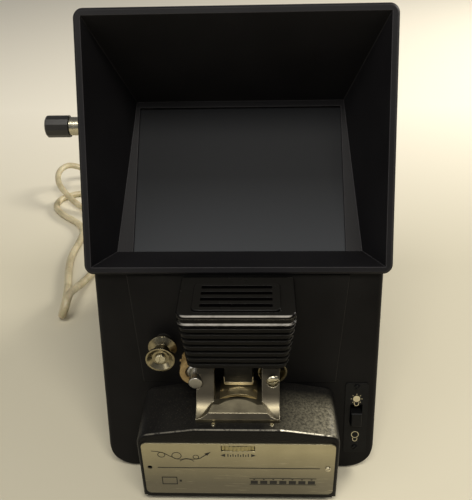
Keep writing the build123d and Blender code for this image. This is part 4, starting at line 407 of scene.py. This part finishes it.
def plain_metal(name, colour, roughness, patch=2.5):
    """Bare or plated metal with faint blotches from handling and fine machining marks."""
    material, tree, shader = finish(name, colour, Metallic=1.0, Roughness=roughness)
    blotch = spread(tree, noise(tree, patch, 4.0), 0.3, 0.7, roughness * 0.8, roughness * 1.3)
    tree.links.new(blotch, shader.inputs["Roughness"])
    bump(tree, shader, noise(tree, 0.4, 2.0), 0.008, corner=0.3)
    return material


def polished_phenolic():
    """Black phenolic, polished: deep gloss with slight waves, a painted highlight on the lip's two beads
    and the fins' right ends, a faint painted highlight on the other edges, and upward faces painted paler."""
    material, tree, shader = finish("polished_phenolic", "#080707", Roughness=0.2, Specular_IOR_Level=0.1)
    smear = noise(tree, 14, 5.0)
    tree.links.new(spread(tree, smear, 0.35, 0.7, 0.16, 0.3), shader.inputs["Roughness"])
    where = add(tree, "ShaderNodeSeparateXYZ", links={"Vector": place_of(tree)}).outputs
    front = spread(tree, where["Y"], -100.2 * mm, -101.4 * mm)
    lip = spread(tree, where["Z"], 109.8 * mm, 110.6 * mm)
    below_top = spread(tree, where["Z"], 119.4 * mm, 118.9 * mm)
    right_end = spread(tree, where["X"], 25.5 * mm, 29 * mm, 0.0, 0.8)
    # Painted highlight along the edges: strong on the lip's two beads and the fins' right ends, faint
    # elsewhere
    edge_highlight = spread(tree, edge_wear_and_highlight(tree, 0.5), 0.3, 1.0)
    bright = both(tree, both(tree, front, lip), below_top)
    # Painted light: upward faces a little paler
    body = blend(tree, turned_to(tree, (0, 0, 1), 0.6, 0.9), "#070606", "#1a1917")
    # Painted highlight: glints at the fins' right ends
    painted_light_tone = blend(tree, both(tree, edge_highlight, right_end), body, "#8f8a83")
    # Painted highlight: faint lines along the other edges
    lined = blend(tree, spread(tree, edge_highlight, 0.0, 1.0, 0.0, 0.35), painted_light_tone, "#2c2a27")
    turning = either(tree, edge_highlight, turned_to(tree, (0, -0.7, 0.7), 0.9, 0.99))
    # Painted highlight: the lip's two bright bead lines, in patches
    patchy = both(tree, bright, spread(tree, noise(tree, 4, 4.0), 0.3, 0.55, 0.6, 1.0))
    tree.links.new(blend(tree, both(tree, turning, patchy), lined, "#a19c95"), shader.inputs["Base Color"])
    bump(tree, shader, noise(tree, 5, 2.0), 0.02, corner=0.6)
    return material


def plain_plastic(name, colour, roughness, second, patch=6.0, gloss=0.35):
    """A moulded plastic or vinyl with slight clouding and a fine skin."""
    material, tree, shader = finish(name, colour, Roughness=roughness, Specular_IOR_Level=gloss)
    clouded = blend(tree, spread(tree, noise(tree, patch, 4.0), 0.3, 0.7), colour, second)
    tree.links.new(clouded, shader.inputs["Base Color"])
    bump(tree, shader, noise(tree, 0.5, 2.0), 0.015, corner=0.3)
    return material


def ground_screen():
    """Grey screen plate, ground on its face: a dead matte sheet, paler low down, where the room lights it."""
    material, tree, shader = finish("ground_screen", "#36383b", Roughness=0.6, Specular_IOR_Level=0.12)
    where = add(tree, "ShaderNodeSeparateXYZ", links={"Vector": place_of(tree)})
    height = spread(tree, where.outputs["Z"], 148 * mm, 118 * mm)
    tree.links.new(blend(tree, height, "#1c1d1f", "#36383b"), shader.inputs["Base Color"])
    bump(tree, shader, noise(tree, 0.5, 1.0), 0.01)
    return material


def clear_glass():
    """Optical glass: clear and polished, with a slight green in its depth."""
    return finish("optical_glass", "#eef2ee", Roughness=0.02, IOR=1.52, Transmission_Weight=1.0)[0]


def silvered_glass():
    """Front-silvered mirror glass with a trace of haze."""
    material, tree, shader = finish("silvered_glass", "#e6e8e8", Metallic=1.0, Roughness=0.03)
    tree.links.new(spread(tree, noise(tree, 12), 0.4, 0.7, 0.02, 0.08), shader.inputs["Roughness"])
    return material


def soft_vinyl():
    """Cream vinyl cord sheath: waxy, yellowed with age and a little grimy where it lies on tables."""
    material, tree, shader = finish("soft_vinyl", "#c6ba98", Roughness=0.42, IOR=1.53)
    grime = spread(tree, noise(tree, 16, 6.0, 0.65), 0.42, 0.72)
    tree.links.new(blend(tree, grime, "#c6ba98", "#978b69"), shader.inputs["Base Color"])
    shader.inputs["Subsurface Weight"].default_value = 0.08
    shader.inputs["Subsurface Scale"].default_value = 0.002
    bump(tree, shader, noise(tree, 1.2), 0.04)
    return material


phenolic = moulded_phenolic()
abs_grain = grained_plastic()
enamel = crackle_enamel()
aluminium_sheet = satin_aluminium()
casting = nickelled_casting()
cover_phenolic = polished_phenolic()
glass = clear_glass()
mirror = silvered_glass()
vinyl = soft_vinyl()
nickel_turned = turned_metal("nickelled_turning", "#988f75", 0.26, 0.5, (1, 0, 1), (-41.5, film_y, 81.5))
steel = plain_metal("ground_steel", "#a9a69e", 0.3)
track_steel = plain_metal("worn_track_steel", "#c9ba93", 0.4)
bright_bead = plain_metal("knurled_aluminium", "#a39a74", 0.36)
polished_steel = plain_metal("polished_steel", "#e2dcce", 0.3)
nickel = plain_metal("nickel_plate", "#c4bda6", 0.24)
machined_aluminium = plain_metal("machined_aluminium", "#b9b6ae", 0.33)
machined_brass = plain_metal("machined_brass", "#b8944e", 0.28)
core_steel = plain_metal("stacked_steel", "#5c5c60", 0.45)
nylon = plain_plastic("tan_nylon", "#a98f60", 0.45, "#947b50", 3.0)
block_phenolic = plain_plastic("satin_phenolic", "#1c1b1a", 0.34, "#242321", 5.0)
knob_phenolic = plain_plastic("turned_phenolic", "#242220", 0.3, "#2b2926", 4.0, 0.5)
back_plastic = plain_plastic("back_plastic", "#121113", 0.5, "#1a191b", 20.0)
black_enamel = plain_plastic("black_enamel", "#0c0c0c", 0.42, "#121212", 4.0, 0.15)
rubber = plain_plastic("black_rubber", "#161616", 0.75, "#1e1d1d", 4.0)
plug_vinyl = plain_plastic("moulded_vinyl", "#d5cdb2", 0.4, "#c2b897", 14.0)
tape = plain_plastic("varnished_tape", "#8d7440", 0.4, "#7a6235", 3.0)

finishes = {
    phenolic: ["housing"],
    abs_grain: ["hood"],
    enamel: ["nose", "base_plate"],
    aluminium_sheet: ["front_plate"],
    casting: ["gate_casting"],
    cover_phenolic: ["lamp_cover"],
    knob_phenolic: ["framing_knob"],
    glass: ["lens_glass", "prism", "condenser", "lamp"],
    mirror: ["base_mirror", "rear_mirror"],
    nickel_turned: ["left_roller", "right_roller"],
    steel: ["lamp_chassis", "screen_frame", "sprocket_shaft", "prism_shaft", "framing_shaft",
            "base_mirror_bracket"],
    polished_steel: ["pressure_shoe"],
    track_steel: ["gate_shoe"],
    bright_bead: ["focus_wheel"],
    nickel: ["gate_screws", "front_plate_screw", "inner_screws", "screen_frame_screws",
             "case_screws", "left_roller_pin", "right_roller_pin", "plug_pins", "framing_bush"],
    machined_aluminium: ["lens_barrel", "sprocket_hub", "lens_mount", "mirror_cradle", "mirror_stand",
                         "framing_arm", "gear_bracket"],
    machined_brass: ["sprocket_gear", "sprocket_bush"],
    core_steel: ["transformer_core"],
    nylon: ["sprocket", "prism_pinion"],
    block_phenolic: ["pressure_block", "switch_body", "lamp_socket"],
    back_plastic: ["back_cover"],
    black_enamel: ["switch_plate", "switch_screws", "switch_knob"],
    rubber: ["feet", "cord_gland"],
    plug_vinyl: ["plug"],
    tape: ["transformer_coil"],
    ground_screen(): ["screen"],
}
for material, names in finishes.items():
    for name in names:
        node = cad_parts[name]
        for slot in node.material_slots:
            slot.material = material
cord.data.materials.append(vinyl)

# Markings: ink laid on the metal, built as flat shapes a hair above it
ink = plain_plastic("printing_ink", "#191816", 0.5, "#221f1c", 2.0)
pale_ink = plain_plastic("pale_ink", "#c9bd98", 0.5, "#b8ab86", 2.0)
ink_lift = 0.05


def stroke(points, width, closed=False):
    """A line of even width through flat points, as a list of four-cornered pieces."""
    count = len(points)
    sides = []
    for place in range(count):
        before = points[(place - 1) % count] if closed or place else points[place]
        after = points[(place + 1) % count] if closed or place < count - 1 else points[place]
        along = Vector((after[0] - before[0], after[1] - before[1])).normalized()
        off = Vector((-along.y, along.x)) * width / 2
        here = Vector(points[place])
        sides.append((here + off, here - off))
    pairs = range(count if closed else count - 1)
    return [
        (sides[n][0], sides[(n + 1) % count][0], sides[(n + 1) % count][1], sides[n][1]) for n in pairs
    ]


def circle(x, z, radius, sides=36, start=0.0, sweep=360.0):
    """Points on a circle or an arc of it."""
    count = sides if sweep == 360.0 else sides + 1
    turns = [radians(start + sweep * n / sides) for n in range(count)]
    return [(x + radius * cos(turn), z + radius * sin(turn)) for turn in turns]


def printed(name, shapes, surface, material, body):
    """Flat shapes laid on a surface, which turns a flat place into one on the viewer."""
    built = bmesh.new()
    for shape in shapes:
        built.faces.new([built.verts.new(surface(place[0], place[1])) for place in shape])
    mesh = bpy.data.meshes.new(name)
    built.to_mesh(mesh)
    built.free()
    mesh.materials.append(material)
    obj = into(bpy.data.objects.new(name, mesh))
    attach(obj, body)
    return obj


def on_plate(x, z):
    """A place on the front plate's face."""
    return Vector((x, plate_front_y - ink_lift, z)) * mm


switch_x = 66.3
switch_z = 34.4
switch_plate_thickness = 0.5


def on_switch(x, z):
    """A place on the switch plate's leaning face, counted from its middle."""
    out = switch_plate_thickness + ink_lift
    lean_y = face_y(switch_z) + z * sin(face_lean) - out * cos(face_lean)
    return Vector((switch_x + x, lean_y, switch_z + z * cos(face_lean) + out * sin(face_lean))) * mm


# Film path: two rollers, the sprocket between them and the gate's arch, with an arrow at the leaving end
thin_line = 0.4
path_shapes = stroke([(-46.3, 41.6), (-42.6, 41.1), (-40.0, 40.4), (-36.6, 37.8), (-33.1, 35.6)], 0.45)
path_shapes += stroke(circle(-41.0, 38.8, 1.9), thin_line, closed=True)
path_shapes += stroke(circle(-32.9, 38.2, 2.5), thin_line, closed=True)
path_shapes += stroke(circle(-27.6, 30.6, 5.0, 20, 140, -100), thin_line)
path_shapes += stroke([(-33.1, 35.6), (-31.0, 35.3), (-27.6, 36.0), (-24.6, 35.4), (-22.2, 35.6)], thin_line)
path_shapes += stroke(circle(-22.6, 37.2, 1.5), thin_line, closed=True)
path_shapes += stroke([(-22.2, 35.6), (-20.4, 36.2), (-16.4, 39.6)], 0.5)
path_shapes.append([(-14.4, 41.4), (-17.9, 39.9), (-16.5, 38.3)])
# Focus scale under the wheel's window: ticks between two arrow heads
tick_pitch = 1.35
tick_foot = 37.7
tick_width = 0.55
long_tick = 2.2
short_tick = 1.4
for tick in range(-4, 5):
    tall = long_tick if tick % 2 == 0 else short_tick
    tick_x = tick * tick_pitch
    path_shapes += stroke([(tick_x, tick_foot), (tick_x, tick_foot + tall)], tick_width)
head_tip = 9.4
head_back = 6.9
head_z = 38.7
head_half = 1.2
path_shapes.append([(-head_tip, head_z), (-head_back, head_z - head_half), (-head_back, head_z + head_half)])
path_shapes.append([(head_tip, head_z), (head_back, head_z + head_half), (head_back, head_z - head_half)])
printed("plate_markings", path_shapes, on_plate, ink, "viewer")

# Marks in the lower half: a film frame with its perforation, and a short strip of film at the right
mark_z = 18.0
icon_x = -38.0
icon_width = 8.0
icon_height = 5.6
icon_line = 0.9
hole_gap = 2.0
strip_x = 24.0
strip_frames = 7
strip_pitch = 5.2
strip_edge = 2.5
edge_line = 0.5
picture_gap = 1.3


def bar(x, z, width, height):
    """A filled rectangle round a middle."""
    return [
        (x - width / 2, z - height / 2),
        (x + width / 2, z - height / 2),
        (x + width / 2, z + height / 2),
        (x - width / 2, z + height / 2),
    ]


mark_shapes = stroke(bar(icon_x, mark_z, icon_width, icon_height), icon_line, closed=True)
mark_shapes.append(bar(icon_x + icon_width / 2 + hole_gap, mark_z, 1.3, 1.7))
strip_width = strip_frames * strip_pitch
mark_shapes.append(bar(strip_x, mark_z + strip_edge, strip_width, edge_line))
mark_shapes.append(bar(strip_x, mark_z - strip_edge, strip_width, edge_line))
for place in range(strip_frames):
    left = strip_x + (place - strip_frames / 2) * strip_pitch
    mark_shapes.append(bar(left + strip_pitch / 2, mark_z - 0.7, strip_pitch - picture_gap, 2.6))
    mark_shapes.append(bar(left + strip_pitch / 2, mark_z + 1.6, 1.0, 0.7))
# The groove between the two halves, filled with ink
groove_z = 28.7
groove_length = 87.6
groove_width = 0.6
mark_shapes.append(bar(0, groove_z, groove_length, groove_width))
printed("plate_marks", mark_shapes, on_plate, ink, "viewer")

# Lamp symbols beside the switch: lit above, unlit below
bulb_up = 12.2
bulb_down = -11.4
bulb_radius = 2.0
ray_line = 0.3


def bulb_foot(middle):
    """The cap under a lamp symbol: a small cup with a rounded end."""
    top = middle - bulb_radius - 0.2
    left = [(-1.3, top), (-1.1, top - 1.6), (-0.4, top - 2.2)]
    return stroke(left + [(-x, z) for x, z in reversed(left)], thin_line)


lit_shapes = [circle(0, bulb_up, bulb_radius, 24)] + bulb_foot(bulb_up)
for ray in range(-1, 6):
    turn = radians(ray * 45)
    near = bulb_radius + 0.6
    far = bulb_radius + 1.3
    ends = [(reach * cos(turn), bulb_up + reach * sin(turn)) for reach in (near, far)]
    lit_shapes += stroke(ends, ray_line)
lit_shapes += stroke(circle(0, bulb_down, bulb_radius, 24), thin_line, closed=True) + bulb_foot(bulb_down)
printed("switch_markings", lit_shapes, on_switch, pale_ink, "viewer")

# Floor and soft studio light
floor_mesh = bpy.data.meshes.new("floor")
half_floor = 3.0
floor_corners = [(half_floor * x, half_floor * y, 0) for x, y in ((-1, -1), (1, -1), (1, 1), (-1, 1))]
floor_mesh.from_pydata(floor_corners, [], [(0, 1, 2, 3)])
floor = into(bpy.data.objects.new("floor", floor_mesh))


def pale_table():
    """A pale painted table, whiter towards the far side, where the room is brighter."""
    material, tree, shader = finish("pale_table", "#cbc5b2", Roughness=0.8)
    where = add(tree, "ShaderNodeSeparateXYZ", links={"Vector": place_of(tree)}).outputs
    far = spread(tree, where["Y"], 120 * mm, 520 * mm)
    tree.links.new(blend(tree, far, "#cbc4ae", "#fbf4e2"), shader.inputs["Base Color"])
    return material


floor_mesh.materials.append(pale_table())

world = bpy.data.worlds.new("studio")
bpy.context.scene.world = world
world.use_nodes = True
world.node_tree.nodes["Background"].inputs["Color"].default_value = (0.9, 0.93, 1.0, 1.0)
world.node_tree.nodes["Background"].inputs["Strength"].default_value = 0.16


def soft_light(name, place, wide, deep, power, colour):
    """A rectangular lamp that points at the viewer's middle."""
    data = bpy.data.lights.new(name, "AREA")
    data.shape = "RECTANGLE"
    data.size = wide
    data.size_y = deep
    data.energy = power
    data.color = colour
    lamp = into(bpy.data.objects.new(name, data))
    lamp.location = place
    lamp.rotation_euler = (Vector((0, 0, 0.1)) - Vector(place)).to_track_quat("-Z", "Y").to_euler()


soft_light("ceiling_light", (0.1, -0.72, 1.45), 1.1, 0.4, 18, (1.0, 0.96, 0.88))
soft_light("window_light", (1.15, 0.75, 0.8), 0.7, 0.5, 19, (1.0, 0.95, 0.86))
soft_light("fill_light", (-1.1, -0.9, 0.9), 0.9, 0.9, 5, (1.0, 0.97, 0.92))
